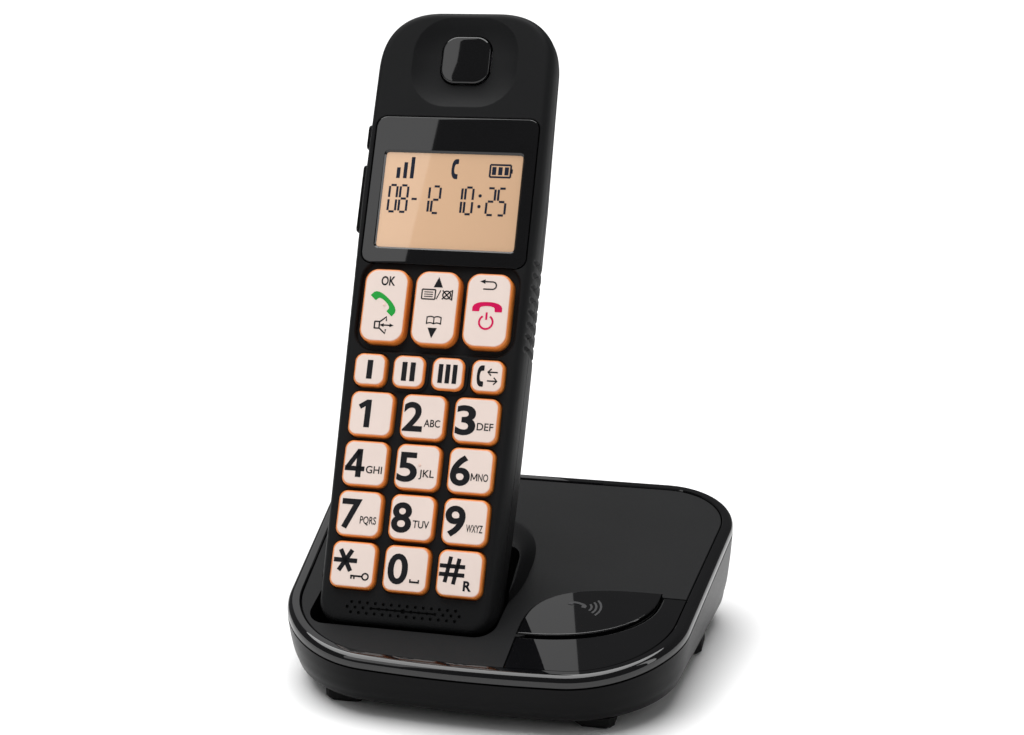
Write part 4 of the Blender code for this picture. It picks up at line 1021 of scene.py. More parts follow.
def speaker_sign(thickness):
    """A speaker seen from the side, with a double-headed arrow before it."""
    line = 0.00038
    cone = [(-0.0009, 0.0008), (0.0009, 0.0023), (0.0009, 0.0011)]
    parts = [stroke([(-0.0022, 0.0009), (-0.0009, 0.0009)], line, thickness)]
    parts.append(stroke([(-0.0022, -0.0009), (-0.0009, -0.0009)], line, thickness))
    parts.append(stroke([(-0.0022, 0.0010), (-0.0022, -0.0010)], line, thickness))
    parts.append(stroke([(-0.0009, 0.0009), (-0.0009, -0.0009)], line, thickness))
    parts.append(stroke(cone, line, thickness))
    parts.append(stroke(np.array(cone) * [1, -1], line, thickness))
    parts.append(stroke([(-0.0002, 0.0), (0.0024, 0.0)], 0.00034, thickness))
    for side in (-1, 1):
        parts.append(moved(triangle(0.0010, thickness), 0.0011 + side * 0.0013, 0.0, -90 * side))
    return parts


def crossed_bell(thickness):
    """A bell crossed out: a ring, the two diagonals over it, and an upright line beside it."""
    line = 0.00034
    parts = [stroke(circle(0.00105, (0, 0), 0, 360, 25), line, thickness, closed=True)]
    for side in (-1, 1):
        parts.append(stroke([(-0.0012, -0.0012 * side), (0.0012, 0.0012 * side)], line, thickness))
    parts.append(stroke([(0.00145, -0.0014), (0.00145, 0.0014)], line, thickness))
    return parts


def book_sign(thickness):
    """An open book: two pages that each arch a little."""
    parts = []
    for side in (-1, 1):
        x = np.linspace(0, 0.0019, 7)
        arch = 0.00025 * np.sin(np.pi * x / 0.0019)
        for height in (-0.00085, 0.00085):
            parts.append(stroke(np.stack([x * side, arch + height], -1), 0.0003, thickness))
        parts.append(stroke([(0.0019 * side, -0.0010), (0.0019 * side, 0.0010)], 0.0003, thickness))
    parts.append(stroke([(0.0, -0.0010), (0.0, 0.0010)], 0.0003, thickness))
    return parts


def key_sign(thickness):
    """A key: a ring, a shaft to its left and two short teeth under the shaft."""
    parts = [stroke(circle(0.00072, (0.0014, 0), 0, 360, 21), 0.00036, thickness, closed=True)]
    parts.append(stroke([(0.0007, 0.0), (-0.0021, 0.0)], 0.00040, thickness))
    for x in (-0.0019, -0.0012):
        parts.append(stroke([(x, 0.0), (x, -0.0007)], 0.00036, thickness))
    return parts


def star_sign(radius, line, thickness):
    """A star of three lines through one point, 60 degrees apart."""
    arms = []
    for angle in (0, 60, 120):
        arm = stroke([(-radius, 0), (radius, 0)], line, thickness)
        arms.append(moved(arm, 0, 0, angle))
    return arms


def hash_sign(size, line, thickness):
    """A hash: two level lines, and two upright ones turned 9 degrees."""
    parts = []
    for side in (-1, 1):
        slant = turned([(side * 0.17, -0.5), (side * 0.17, 0.5)], -9)
        parts.append(stroke(slant * size, line, thickness))
        parts.append(stroke(np.array([(-0.5, side * 0.16), (0.5, side * 0.16)]) * size, line, thickness))
    return parts


DIGIT_LETTERS = {
    "1": "", "2": "ABC", "3": "DEF", "4": "GHI", "5": "JKL", "6": "MNO", "7": "PQRS", "8": "TUV", "9": "WXYZ",
    "0": "",
}


def letter_m(size, line, thickness):
    """The letter M as four lines: two posts and two that meet in the middle."""
    post = size * 0.38
    parts = [stroke([(side * post, -size / 2), (side * post, size / 2)], line, thickness) for side in (-1, 1)]
    for side in (-1, 1):
        parts.append(stroke([(side * post, size / 2), (0.0, -size * 0.3)], line, thickness))
    return parts


FIGURE_HEIGHT = 0.0073
FIGURE_WIDTH = 0.0053
LETTER_HEIGHT = 0.0019
# The 4 as (its line's two ends, its width), and the 1 as an outline, both in shares of the figure's height
FIGURE_FOUR = (
    (((0.14, -0.5), (0.14, 0.5)), 0.20),
    (((-0.36, -0.20), (0.36, -0.20)), 0.17),
    (((-0.29, -0.20), (0.11, 0.43)), 0.17),
)
FIGURE_ONE = np.array(
    [(0.02, -0.5), (0.23, -0.5), (0.23, 0.5), (0.06, 0.5), (-0.24, 0.30), (-0.14, 0.15), (0.02, 0.26)]
)


def key_symbols(ink):
    """The symbols of every key as (node, finish, parts), each part in metres from the middle of its key."""
    found = []
    for digit, letters in DIGIT_LETTERS.items():
        x = {"1": -0.0018, "7": -0.0021, "0": -0.0021}.get(digit, -0.0026)
        if digit == "1":
            figures = [plate(FIGURE_ONE * FIGURE_HEIGHT, ink)]
        elif digit == "4":
            tall = FIGURE_HEIGHT
            figures = [stroke(np.array(line) * tall, wide * tall, ink) for line, wide in FIGURE_FOUR]
        else:
            shown = "6" if digit == "9" else digit
            figures = [lettering(shown, FIGURE_HEIGHT, ink, 0.024, FIGURE_WIDTH, FIGURE_WIDTH)]
        parts = [moved(figure, x, 0.0, 180 if digit == "9" else 0) for figure in figures]
        if letters == "MNO":
            parts += [moved(part, 0.00112, -0.0015) for part in letter_m(LETTER_HEIGHT, 0.00026, ink)]
            parts.append(moved(lettering("NO", LETTER_HEIGHT, ink, 0.010, 0.0026), 0.0035, -0.0015))
        elif letters:
            parts.append(moved(lettering(letters, LETTER_HEIGHT, ink, 0.010, 0.0043), 0.0026, -0.0015))
        if digit == "0":
            parts.append(stroke([(0.0014, -0.0024), (0.0014, -0.0031)], 0.0004, ink))
            parts.append(stroke([(0.0012, -0.0031), (0.0038, -0.0031)], 0.00046, ink))
            parts.append(stroke([(0.0036, -0.0024), (0.0036, -0.0031)], 0.0004, ink))
        found.append((f"key_{digit}", "ink", parts))
    star = [moved(part, -0.0021, 0.0010) for part in star_sign(0.0031, 0.00115, ink)]
    star += [moved(part, 0.0020, -0.0028, 0, 1.12) for part in key_sign(ink)]
    found.append(("key_star", "ink", star))
    sharp = [moved(part, -0.0020, 0.0007) for part in hash_sign(0.0066, 0.00102, ink)]
    found.append(("key_hash", "ink", sharp + [moved(lettering("R", 0.0024, ink, 0.034), 0.0023, -0.0029)]))

    for count in (1, 2, 3):
        wide, pitch = ((0.0015, 0.0), (0.00135, 0.00225), (0.0012, 0.0019))[count - 1]
        places = (np.arange(count) - (count - 1) / 2) * pitch
        bars = [stroke([(x, -0.0025), (x, 0.0025)], wide, ink) for x in places]
        found.append((f"key_memory_{count}", "ink", bars))
    redial = [moved(receiver(0.0056, ink), -0.0018, 0.0, 90)]
    redial += arrow(0.0014, 0.0011, 0.0026, 0.00036, 0.0009, ink, 180)
    redial += arrow(0.0014, -0.0012, 0.0026, 0.00036, 0.0009, ink)
    found.append(("key_redial", "ink", redial))

    talk = [moved(lettering("OK", 0.0024, ink, 0.022, 0.0038), 0.0004, 0.0067)]
    talk += [moved(part, 0.0002, -0.0053) for part in speaker_sign(ink)]
    found.append(("key_talk", "ink", talk))
    found.append(("key_talk", "green_ink", [moved(receiver(0.0084, ink), 0.0001, 0.0009, -41)]))

    rocker = [moved(triangle(0.0025, ink), 0.0002, 0.0068)]
    rocker.append(moved(triangle(0.0025, ink, -1), -0.0002, -0.0066))
    rocker += [moved(part, -0.0022, 0.0036) for part in box_line(0.0036, 0.0026, 0.00034, ink)]
    for row in (-1, 0, 1):
        line = [(-0.0034, 0.0036 + row * 0.0006), (-0.0010, 0.0036 + row * 0.0006)]
        rocker.append(stroke(line, 0.00024, ink))
    rocker.append(stroke([(0.0000, 0.0024), (0.0010, 0.0048)], 0.00026, ink))
    rocker += [moved(part, 0.0027, 0.0036) for part in crossed_bell(ink)]
    rocker += [moved(part, 0.0, -0.0034) for part in book_sign(ink)]
    found.append(("key_navigator", "ink", rocker))

    bend = circle(0.0010, (0.0008, 0.0067), 90, -90, 13)
    back = np.concatenate([[(-0.0014, 0.0077)], bend, [(-0.0016, 0.0057)]])
    hook = [stroke(back, 0.00034, ink), moved(triangle(0.0012, ink), -0.0018, 0.0077, 90)]
    found.append(("key_off", "ink", hook))
    off = [moved(receiver(0.0080, ink), 0.0, 0.0010)]
    off += [moved(part, 0.0, -0.0031) for part in power_sign(0.0018, 0.00052, ink)]
    found.append(("key_off", "red_ink", off))
    return found


def build_key_symbols(sizes):
    """Printed symbols, standing a hair above the key tops, on the key that carries them."""
    for node, ink_name, parts in key_symbols(sizes.ink_height):
        low, high = handset_box(node)
        shift = np.array([*((low + high)[:2] / 2), high[2] + 0.000004])
        points, faces = joined(parts)
        piece = make_piece(f"{ink_name}_{node}", (points + shift, faces), from_handset, 30)
        fit_out(piece, node, "matte_black", look=ink_name)
    for node, x, y in (("key_5", 0.0006, 0.0006), ("key_talk", 0.0, 0.0002)):
        low, high = handset_box(node)
        turns = np.radians(np.linspace(0, 80, 6))
        middle = (low + high)[:2] / 2 + [x, y]
        rings = []
        for turn in turns:
            plan = circle(NIB_RADIUS * math.cos(turn), middle, count=17)
            rings.append(lifted(plan, high[2] + NIB_HEIGHT * math.sin(turn)))
        marks = np.full(len(plan) * len(rings), 0.8)
        nib = make_piece(f"nib_{node}", wrapped(rings), from_handset, 60, marks)
        fit_out(nib, node, "key_peach")


def build_side_keys():
    """Side keys: a rounded bar whose outer face is pulled in towards both ends."""
    for node in ("volume_key", "tone_key"):
        low, high = handset_box(node)
        length = high[1] - low[1]
        shares = np.r_[0.0, 0.55, np.linspace(0.75, 1.0, 8)]
        rings = []
        for share in shares:
            x = high[0] + (low[0] - high[0]) * share
            pull = 0.0006 * (1 - math.sqrt(max(0.0, 1 - max(0.0, (share - 0.75) / 0.25) ** 2)))
            plan = rounded(length - 2 * pull, high[2] - low[2] - 2 * pull, 0.0009 - 0.5 * pull,
                           ((low[1] + high[1]) / 2, (low[2] + high[2]) / 2), 6)
            rings.append(sideways(plan, x))
        bar = make_piece(f"bar_{node}", wrapped(rings), from_handset, 35)
        fit_out(bar, node, "satin_black", node)


# ---------------------------------------------------------------- display and earpiece


def build_display():
    """The window plate as a frame with a bevelled opening, and the lit field behind it."""
    low, high = handset_box("display_window")
    wide, tall = (high - low)[:2]
    middle = (low + high)[:2] / 2
    centre = view_centre()
    rings = []
    outer = ((0.0, low[2]), (0.0, -0.00020), (0.00006, -0.00006), (0.0002, 0.0), (0.0006, 0.0))
    for step, z in outer:
        rings.append(lifted(rounded(wide - 2 * step, tall - 2 * step, WINDOW_CORNER - step, middle, 10), z))
    inner = ((0.0006, 0.0), (0.0001, 0.0), (0.0, -0.00005), (-0.00045, -0.00050), (-0.0005, low[2]))
    for step, z in inner:
        plan = rounded(VIEW_WIDTH + 2 * step, VIEW_HEIGHT + 2 * step, 0.0013 + step, (0.0, centre), 10)
        rings.append(lifted(plan, z))
    plate_frame = make_piece("window_frame", wrapped(rings, "loop"), from_handset, 25)
    settle_shading(plate_frame)
    fit_out(plate_frame, "handset", "gloss_black", "display_window")

    field = rounded(VIEW_WIDTH, VIEW_HEIGHT, 0.0010, (0.0, centre), 6)
    foot = handset_box("lcd_panel")[0][2]
    lit_field = make_piece("lcd_field", prism(field, foot, -0.00058), from_handset)
    fit_out(lit_field, "handset", "lcd_amber", "lcd_panel")


SEGMENTS = {
    "0": "abcdef", "1": "bc", "2": "abged", "5": "afgcd", "8": "abcdefg", "-": "g",
}


def seven_segments(text, width, height, pitch, line, thickness):
    """Characters of bars: a top, b and c right, d bottom, e and f left, g middle."""
    x, y = width / 2, height / 2
    gap = line * 0.04
    bars = {
        "a": ((-x, y), (x, y)), "b": ((x, y), (x, 0)), "c": ((x, 0), (x, -y)), "d": ((x, -y), (-x, -y)),
        "e": ((-x, -y), (-x, 0)), "f": ((-x, 0), (-x, y)), "g": ((-x, 0), (x, 0)),
    }
    parts = []
    for place, character in enumerate(text):
        if character == ":":
            for side in (-1, 1):
                dot = circle(line * 0.8, (0, side * height * 0.2), count=9)
                parts.append(moved(plate(dot, thickness), place * pitch, 0.0))
        for bar in SEGMENTS.get(character, ""):
            start, end = (np.array(point) for point in bars[bar])
            inset = (end - start) / np.linalg.norm(end - start) * (gap + line / 2)
            parts.append(moved(stroke([start + inset, end - inset], line, thickness), place * pitch, 0.0))
    return parts


def build_segments():
    """What the display shows: signal bars, a call sign, a battery and a date and time, in dark segments."""
    ink = 0.00003
    parts = []
    for number, tall in enumerate((0.0030, 0.0045, 0.0060)):
        x = -0.0150 + number * 0.0019
        parts.append(stroke([(x, 0.0060), (x, 0.0060 + tall)], 0.0010, ink))
    parts.append(moved(receiver(0.0056, ink), 0.0005, 0.0090, 90))
    parts += [moved(part, 0.0130, 0.0088) for part in box_line(0.0056, 0.0034, 0.0005, ink)]
    for x in (-0.0017, 0.0, 0.0017):
        parts.append(moved(stroke([(0, -0.0011), (0, 0.0011)], 0.0011, ink), 0.0130 + x, 0.0088))
    parts.append(stroke([(0.0160, 0.0082), (0.0160, 0.0094)], 0.0007, ink))
    row = seven_segments("08-12 10:25", 0.0021, 0.0074, 0.0030, 0.00060, ink)
    parts += [moved(part, -0.0158, 0.0003) for part in row]
    points, faces = joined(parts)
    points = points + np.array([0.0, view_centre(), -0.000576])
    piece = make_piece("display_signs", (points, faces), from_handset, 30)
    fit_out(piece, "handset", "matte_black", look="segments")


def build_earpiece():
    """The earpiece insert: a rounded square with a domed face."""
    low, high = handset_box("earpiece_insert")
    size = (high - low)[0]
    middle = (low + high)[:2] / 2
    turns = np.radians(np.linspace(0, 90, 8))
    inset = np.r_[0.0, 0.0007 * (1 - np.cos(turns)), np.linspace(0.0011, 0.0060, 9)]
    edge = high[2] - 0.00002
    dome = edge + 0.00002 * (1 - ((0.0066 - np.linspace(0.0011, 0.0060, 9)) / 0.0066) ** 2)
    height = np.r_[low[2], edge - 0.0007 + 0.0007 * np.sin(turns), dome]
    rings = []
    for step, z in zip(inset, height):
        corner = max(0.0006, 0.0042 - step * 0.62)
        rings.append(lifted(rounded(size - 2 * step, size - 2 * step, corner, middle, 10), z))
    insert = make_piece("ear_plate", wrapped(rings), from_handset, 32)
    fit_out(insert, "handset", "gloss_black", "earpiece_insert")


# ---------------------------------------------------------------- base


def rim_z(y):
    """The deck's slope: the rim's height at the front plus the slope times the distance back."""
    return RIM_FRONT_Z + math.tan(RIM_SLOPE) * (y + DEPTH / 2)


def rim_outline(grow, steps=28):
    """A tapered rectangle with round corners, each tangent to both sides, whose front edge bows outwards."""
    front, rear, half = FRONT_WIDTH / 2 + grow, REAR_WIDTH / 2 + grow, DEPTH / 2 + grow
    corners = np.array([(-front, -half), (front, -half), (rear, half), (-rear, half)])
    radii = np.array([FRONT_CORNER, FRONT_CORNER, REAR_CORNER, REAR_CORNER]) + grow
    back = np.roll(corners, 1, 0) - corners
    ahead = np.roll(corners, -1, 0) - corners
    back /= np.linalg.norm(back, axis=1, keepdims=True)
    ahead /= np.linalg.norm(ahead, axis=1, keepdims=True)
    opening = np.arccos((back * ahead).sum(1))
    middle = (back + ahead) / np.linalg.norm(back + ahead, axis=1, keepdims=True)
    centre = corners + middle * (radii / np.sin(opening / 2))[:, None]
    start = corners + back * (radii / np.tan(opening / 2))[:, None] - centre
    turn = (np.pi - opening)[:, None] * np.linspace(0, 1, steps + 1)
    x = start[:, :1] * np.cos(turn) - start[:, 1:] * np.sin(turn)
    y = start[:, :1] * np.sin(turn) + start[:, 1:] * np.cos(turn)
    arcs = np.stack([x, y], -1) + centre[:, None]
    following = np.roll(arcs[:, 0], -1, 0)
    share = np.linspace(0, 1, 14)[1:-1]
    runs = arcs[:, -1, None] + (following - arcs[:, -1])[:, None] * share[:, None]
    points = np.concatenate([arcs, runs], 1).reshape(-1, 2)
    bow = np.clip(1 - (points[:, 0] / (FRONT_WIDTH / 2)) ** 2, 0, None)
    bow = bow * np.clip(-points[:, 1] / half, 0, None)
    return points - np.stack([np.zeros(len(points)), FRONT_BULGE * bow], -1)


def on_deck(outline, drop):
    """Plan points put on the deck's slope, lowered by a distance."""
    return lifted(outline, rim_z(np.asarray(outline)[:, 1]) - drop)


def shell_ring(grow, share, lift=0.0):
    """The rim's outline grown, at a share of the height from the shell's floor to the band's underside."""
    outline = rim_outline(grow)
    top = rim_z(outline[:, 1]) - BAND_HEIGHT - FIT
    return lifted(outline, FLOOR_Z + lift + (top - FLOOR_Z - lift) * share)


def build_bottom_shell():
    """The bottom shell: its section is carried round the rim's outline, then thickened inwards."""
    profile = along(SHELL_LEVELS, 18)
    rings = [shell_ring(-0.0085, 0.0)]
    rings += [shell_ring(grow, share) for grow, share in profile]
    rings += [shell_ring(grow - BASE_WALL, share, BASE_WALL) for grow, share in profile[::-3]]
    shell = make_piece("bottom_shell", wrapped(rings), from_base)
    cutters = []
    for node in ("line_jack", "dc_jack"):
        low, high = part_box(node)
        plan = rounded(high.x - low.x + 2 * FIT, high.z - low.z + 2 * FIT, 0.0004,
                       ((low.x + high.x) / 2, (low.z + high.z) / 2), 3)
        rings = [upright(plan, y) for y in (high.y - 0.004, high.y + 0.02)]
        cutters.append(make_piece(f"cutter_{node}", wrapped(rings)))
    for number in (1, 2):
        low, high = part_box(f"base_screw_{number}")
        plan = circle((high.x - low.x) / 2 + FIT, ((low.x + high.x) / 2, (low.y + high.y) / 2), count=29)
        cutters.append(make_piece(f"cutter_screw_{number}", prism(plan, 0.0, 0.0060)))
    shaped(shell, cutters)
    settle_shading(shell)
    fit_out(shell, "base", "satin_black", "base_bottom_shell")


def build_trim_band():
    """The gloss band: a section with a rolled outer shoulder carried round the rim."""
    turns = np.linspace(0, np.pi / 2, 12)
    shoulder = np.stack([-0.0002 + (BAND_OUT + 0.0002) * np.cos(turns) ** 0.8,
                         BAND_HEIGHT * 0.72 * (1 - np.sin(turns) ** 0.8)], -1)
    section = np.concatenate([
        [(-BAND_IN, BAND_HEIGHT), (BAND_OUT - 0.0002, BAND_HEIGHT), (BAND_OUT, BAND_HEIGHT - 0.0002)],
        shoulder, [(-BAND_IN + 0.0003, 0.00002), (-BAND_IN, 0.0003)],
    ])
    rings = [on_deck(rim_outline(grow), drop) for grow, drop in section]
    band = make_piece("rim_band", wrapped(rings, "loop"), from_base, 32)
    fit_out(band, "base", "gloss_black", "base_trim_band")


def quarter(x0, y0, x1, y1, power, steps=30):
    """A superellipse quarter that leaves its first point along X and reaches its last along Y."""
    turn = np.linspace(0, np.pi / 2, steps + 1)
    x = x0 + (x1 - x0) * np.sin(turn) ** (2 / power)
    y = y0 + (y1 - y0) * (1 - np.cos(turn) ** (2 / power))
    return np.stack([x, y], -1)


def leaf_outline(grow=0.0):
    """The page button: an arc along the panel's groove and a rounder one behind it."""
    right = ARC_RIGHT_X - GROOVE / 2 + grow
    rear = SEAM_REAR_Y + GROOVE + grow
    front = ARC_FRONT_Y + GROOVE - grow
    near = quarter(SEAM_X - grow, front, right, rear, ARC_POWER)
    far = quarter(right, rear, SEAM_X - grow, front, LEAF_POWER)
    return np.concatenate([near[:-1], far[:-1]])


def panel_outline(grow=0.0, spill=0.0):
    """The corner panel: front seam, the rim's corner, rear seam, and back along the button's arc."""
    edge = -BAND_IN - FIT + spill
    left, rear = SEAM_X - grow, SEAM_REAR_Y + grow
    ring = rim_outline(edge)
    corner = ring[(ring[:, 0] > left + 0.003) & (ring[:, 1] < rear - 0.003) & (ring[:, 0] > 0)]
    corner = corner[np.argsort(np.arctan2(corner[:, 1] + 0.010, corner[:, 0]))]
    front_y = -DEPTH / 2 - edge - FRONT_BULGE * (1 - (left / (FRONT_WIDTH / 2)) ** 2)
    share = (rear + DEPTH / 2 + edge) / (DEPTH + 2 * edge)
    side_x = FRONT_WIDTH / 2 + edge + (REAR_WIDTH - FRONT_WIDTH) / 2 * share
    arch = quarter(left, ARC_FRONT_Y + grow, ARC_RIGHT_X - grow, rear, ARC_POWER)
    return np.concatenate([[(left, front_y)], corner, [(side_x, rear)], arch[::-1]])


def polar(points, centre, turns):
    """A closed outline as distances from a centre at given angles, read between its closely spaced points."""
    away = points - centre
    angle = np.arctan2(away[:, 1], away[:, 0])
    order = np.argsort(angle)
    return np.interp(turns, angle[order], np.hypot(away[:, 0], away[:, 1])[order], period=2 * np.pi)


def filled_in(outline, count=2400):
    """A closed outline read at even steps of its length."""
    closed = np.concatenate([outline, outline[:1]])
    length = np.r_[0, np.cumsum(np.linalg.norm(np.diff(closed, axis=0), axis=1))]
    at = np.linspace(0, length[-1], count, endpoint=False)
    return np.stack([np.interp(at, length, closed[:, i]) for i in (0, 1)], -1)


def collar_oval(inward):
    """A rounded oval round the cradle: share 0 at the collar's foot and 1 at its crest."""
    front = HANDSET_Y + 0.0040 + 0.0011 * inward
    rear = HANDSET_Y + 0.0609 - COLLAR_SLOPE_REAR * inward
    half = POCKET_HALF_HIGH + COLLAR_SIDE - COLLAR_SLOPE_SIDE * inward
    turn = np.linspace(0, 2 * np.pi, 1200, endpoint=False)
    side = np.sign(np.cos(turn)) * np.abs(np.cos(turn)) ** COLLAR_ROUNDNESS
    run = np.sign(np.sin(turn)) * np.abs(np.sin(turn)) ** COLLAR_ROUNDNESS
    x = HANDSET_X + POCKET_SHIFT + side * half
    return np.stack([x, (front + rear) / 2 + run * (rear - front) / 2], -1)


def collar_lift(y, share):
    """The collar's height: a share of the full height, growing from nothing over its run-up."""
    climb = smooth_step((y - HANDSET_Y - 0.0040) / COLLAR_RUN_UP)
    return COLLAR_HEIGHT * share * climb


def deck_shape():
    """The deck as rings round the cradle: crest, down the collar to its foot, and out to the rim.

    Each ring is a polar curve about the cradle's middle. Its height is the deck's slope plus the collar's
    height times a quarter sine of the way in, eased at the foot.
    """
    turns = np.linspace(-np.pi, np.pi, 480, endpoint=False)
    centre = np.array([HANDSET_X + POCKET_SHIFT, HANDSET_Y + 0.0215])
    ray = np.stack([np.cos(turns), np.sin(turns)], -1)
    crest = polar(collar_oval(1.0), centre, turns)
    foot = polar(collar_oval(0.0), centre, turns)
    rim = polar(filled_in(rim_outline(-BAND_IN - FIT)), centre, turns)
    rings = []
    for share in (0.25, 0.7, 0.97):
        plan = centre + ray * (crest * share)[:, None]
        rings.append(lifted(plan, rim_z(plan[:, 1]) - COVER_DROP + collar_lift(plan[:, 1], 1.0)))
    for inward in np.linspace(1, 0, 22):
        radius = polar(collar_oval(inward), centre, turns)
        plan = centre + ray * radius[:, None]
        share = math.sin(math.pi / 2 * inward**1.25)
        rings.append(lifted(plan, rim_z(plan[:, 1]) - COVER_DROP + collar_lift(plan[:, 1], share)))
    for share in (0.03, 0.12, 0.35, 0.65, 0.9):
        plan = centre + ray * (foot + (rim - 0.0004 - foot) * share)[:, None]
        rings.append(on_deck(plan, COVER_DROP))
    for inset, drop in ((0.0004, 0.0), (0.00012, 0.00004), (0.0, 0.0002), (0.0, COVER_THICKNESS)):
        rings.append(on_deck(centre + ray * (rim - inset)[:, None], COVER_DROP + drop))
    return wrapped(rings)


def pocket_plan(half, margin):
    """The cradle's section across the handset, as (x, z) in its frame."""
    front = POCKET_FRONT + margin
    back = -0.0230 - 2 * FIT - margin
    middle = (POCKET_SHIFT, (front + back) / 2)
    return rounded(2 * (half + margin), front - back, POCKET_CORNER + margin, middle, 10)


def pocket_rings(margin, floor, roof, count=10):
    """Sections of the cradle from its floor to a roof height that may differ round the section."""
    rings = []
    for share in np.linspace(0, 1, count):
        plan = pocket_plan(POCKET_HALF_LOW, margin)
        y = floor + (roof(plan[:, 1]) - floor) * share
        grow = (POCKET_HALF_HIGH - POCKET_HALF_LOW) * np.clip(y / POCKET_FLARE, 0, 1)
        x = plan[:, 0] + np.sign(plan[:, 0] - POCKET_SHIFT) * grow
        rings.append(np.column_stack([x, y, plan[:, 1]]))
    return rings


def deck_height_along(z, drop):
    """How far up the handset the deck's underside is met, for points at a distance out of its face."""
    slope = math.tan(RIM_SLOPE)
    start_y = ORIGIN[1] - BASE_Y + z * OUT[1]
    start_z = ORIGIN[2] + z * OUT[2]
    return (rim_z(start_y) - drop - start_z) / (UP[2] - slope * UP[1])


def build_top_cover():
    """The deck with its collar, cut for the cradle, the corner panel, the button and the button's groove."""
    deck = make_piece("deck", deck_shape(), from_base, 40)
    through = pocket_rings(0.0, POCKET_FLOOR, lambda z: np.full(len(z), 0.075))
    cutters = [make_piece("cradle_cutter", wrapped(through), from_handset)]
    for name, outline in (("leaf_opening", leaf_outline(FIT)), ("panel_opening", panel_outline(FIT, 0.006))):
        rings = [on_deck(outline, 0.006), on_deck(outline, -0.004)]
        cutters.append(make_piece(name, wrapped(rings), from_base))
    rear = SEAM_REAR_Y + GROOVE
    far_side = quarter(SEAM_X + FIT, ARC_FRONT_Y + FIT / 2, ARC_RIGHT_X, rear, ARC_POWER)
    near_side = quarter(SEAM_X + FIT, ARC_FRONT_Y + GROOVE, ARC_RIGHT_X - GROOVE / 2, rear, ARC_POWER)
    groove = np.concatenate([far_side[:-1], near_side[:0:-1]])
    rings = [on_deck(groove, 0.0018), on_deck(groove, -0.004)]
    cutters.append(make_piece("groove", wrapped(rings), from_base))
    shaped(deck, cutters, sharp=26)
    settle_shading(deck)
    fit_out(deck, "base", "matte_black", "base_top_cover")


def build_cradle_well():
    """The cradle's wall: the cup's section carried up to the deck outside and back down inside."""
    under = COVER_DROP + COVER_THICKNESS * 0.6
    outer = pocket_rings(POCKET_WALL, POCKET_FLOOR - 0.0016, lambda z: deck_height_along(z, under))
    inner = pocket_rings(0.00002, POCKET_FLOOR, lambda z: deck_height_along(z, under))
    well = make_piece("cradle_well", wrapped(outer + inner[::-1]), from_handset, 35)
    pins = []
    for side in (-1, 1):
        plan = circle(0.0015, (side * PAD_SIDE, -PAD_DEPTH), count=25)
        rings = [upright(plan, y) for y in (-0.006, 0.002)]
        pins.append(make_piece(f"pin_cutter_{side + 1}", wrapped(rings), from_handset))
    shaped(well, pins, sharp=35)
    fit_out(well, "base", "matte_black")


def slab(outline_of, edge, drop, thickness):
    """A plate on the deck's slope with a rounded upper edge: outline_of(growth) gives its plan."""
    turns = np.radians(np.linspace(0, 90, 6))
    rings = [on_deck(outline_of(0.0), drop + thickness)]
    rings += [on_deck(outline_of(-edge * (1 - math.cos(t))), drop + edge * (1 - math.sin(t))) for t in turns]
    return wrapped(rings)


def build_corner_panel():
    """The gloss corner panel: its outline as a plate with a rounded edge, on the deck's slope."""
    shape = slab(panel_outline, 0.00022, COVER_DROP, COVER_THICKNESS)
    panel = make_piece("gloss_corner", shape, from_base, 30)
    settle_shading(panel)
    fit_out(panel, "base", "gloss_black", "corner_panel")


def build_page_button():
    """The page button: its leaf as a plate with a rounded edge, and a round stem down to its switch."""
    leaf = make_piece("page_leaf", slab(leaf_outline, 0.00035, 0.0, LEAF_THICKNESS), from_base, 30)
    stem_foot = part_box("page_button")[0].z
    low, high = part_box("page_switch")
    plan = circle(0.0018, ((low.x + high.x) / 2, (low.y + high.y) / 2 - BASE_Y), count=33)
    rings = [lifted(plan, stem_foot), on_deck(plan, LEAF_THICKNESS / 2)]
    stem = make_piece("stem", wrapped(rings), from_base)
    shaped(leaf, [stem], "UNION", 30)
    settle_shading(leaf)
    fit_out(leaf, "page_button", "gloss_black", "page_button")


def build_page_symbol():
    """The page button's symbol: a receiver and three arcs, raised a little and laid on the deck's slope."""
    ink = 0.00008
    parts = [moved(receiver(0.0050, ink), -0.0034, 0.0006, -14)]
    for radius in (0.0022, 0.0036, 0.0050):
        wave = circle(radius * 0.86, (-0.0016, -0.0004), -40, 46, 15)
        parts.append(stroke(wave, 0.00055, ink))
    points, faces = joined(parts)
    place = np.array([SEAM_X + 0.0160, ARC_FRONT_Y + 0.0158])
    plan = points[:, :2] * [1.0, 1.15] + place
    points = np.column_stack([plan, rim_z(plan[:, 1]) + points[:, 2] + 0.00002])
    sign = make_piece("page_symbol", (points, faces), from_base, 30)
    fit_out(sign, "page_button", "satin_black", look="symbol")


# ---------------------------------------------------------------- carried-over nodes and the stage


def finish_nodes():
    """Gives each node that still shows a finish by the slot that the record names for it."""
    slots = {entry["node"]: entry["material_slot"] for entry in frame["record"]["subparts"]}
    for name, node in frame["nodes"].items():
        if node.hide_render:
            continue
        for place in node.material_slots:
            place.material = finish(slots[name])


SKY_STRENGTH = 0.14
SUN_STRENGTH = 4.0
SUN_SPREAD = math.radians(62)


def light(name, place, target, size, power, turn=0.0):
    """A soft box: a rectangular light at a place, facing a target, turned about its own axis."""
    lamp = bpy.data.lights.new(name, "AREA")
    lamp.shape = "RECTANGLE"
    lamp.size, lamp.size_y = size
    lamp.energy = power
    holder = bpy.data.objects.new(name, lamp)
    holder.location = place
    aim = (Vector(target) - Vector(place)).to_track_quat("-Z", "Y")
    holder.rotation_euler = aim.to_euler()
    holder.rotation_euler.rotate_axis("Z", turn)
    bpy.context.scene.collection.objects.link(holder)


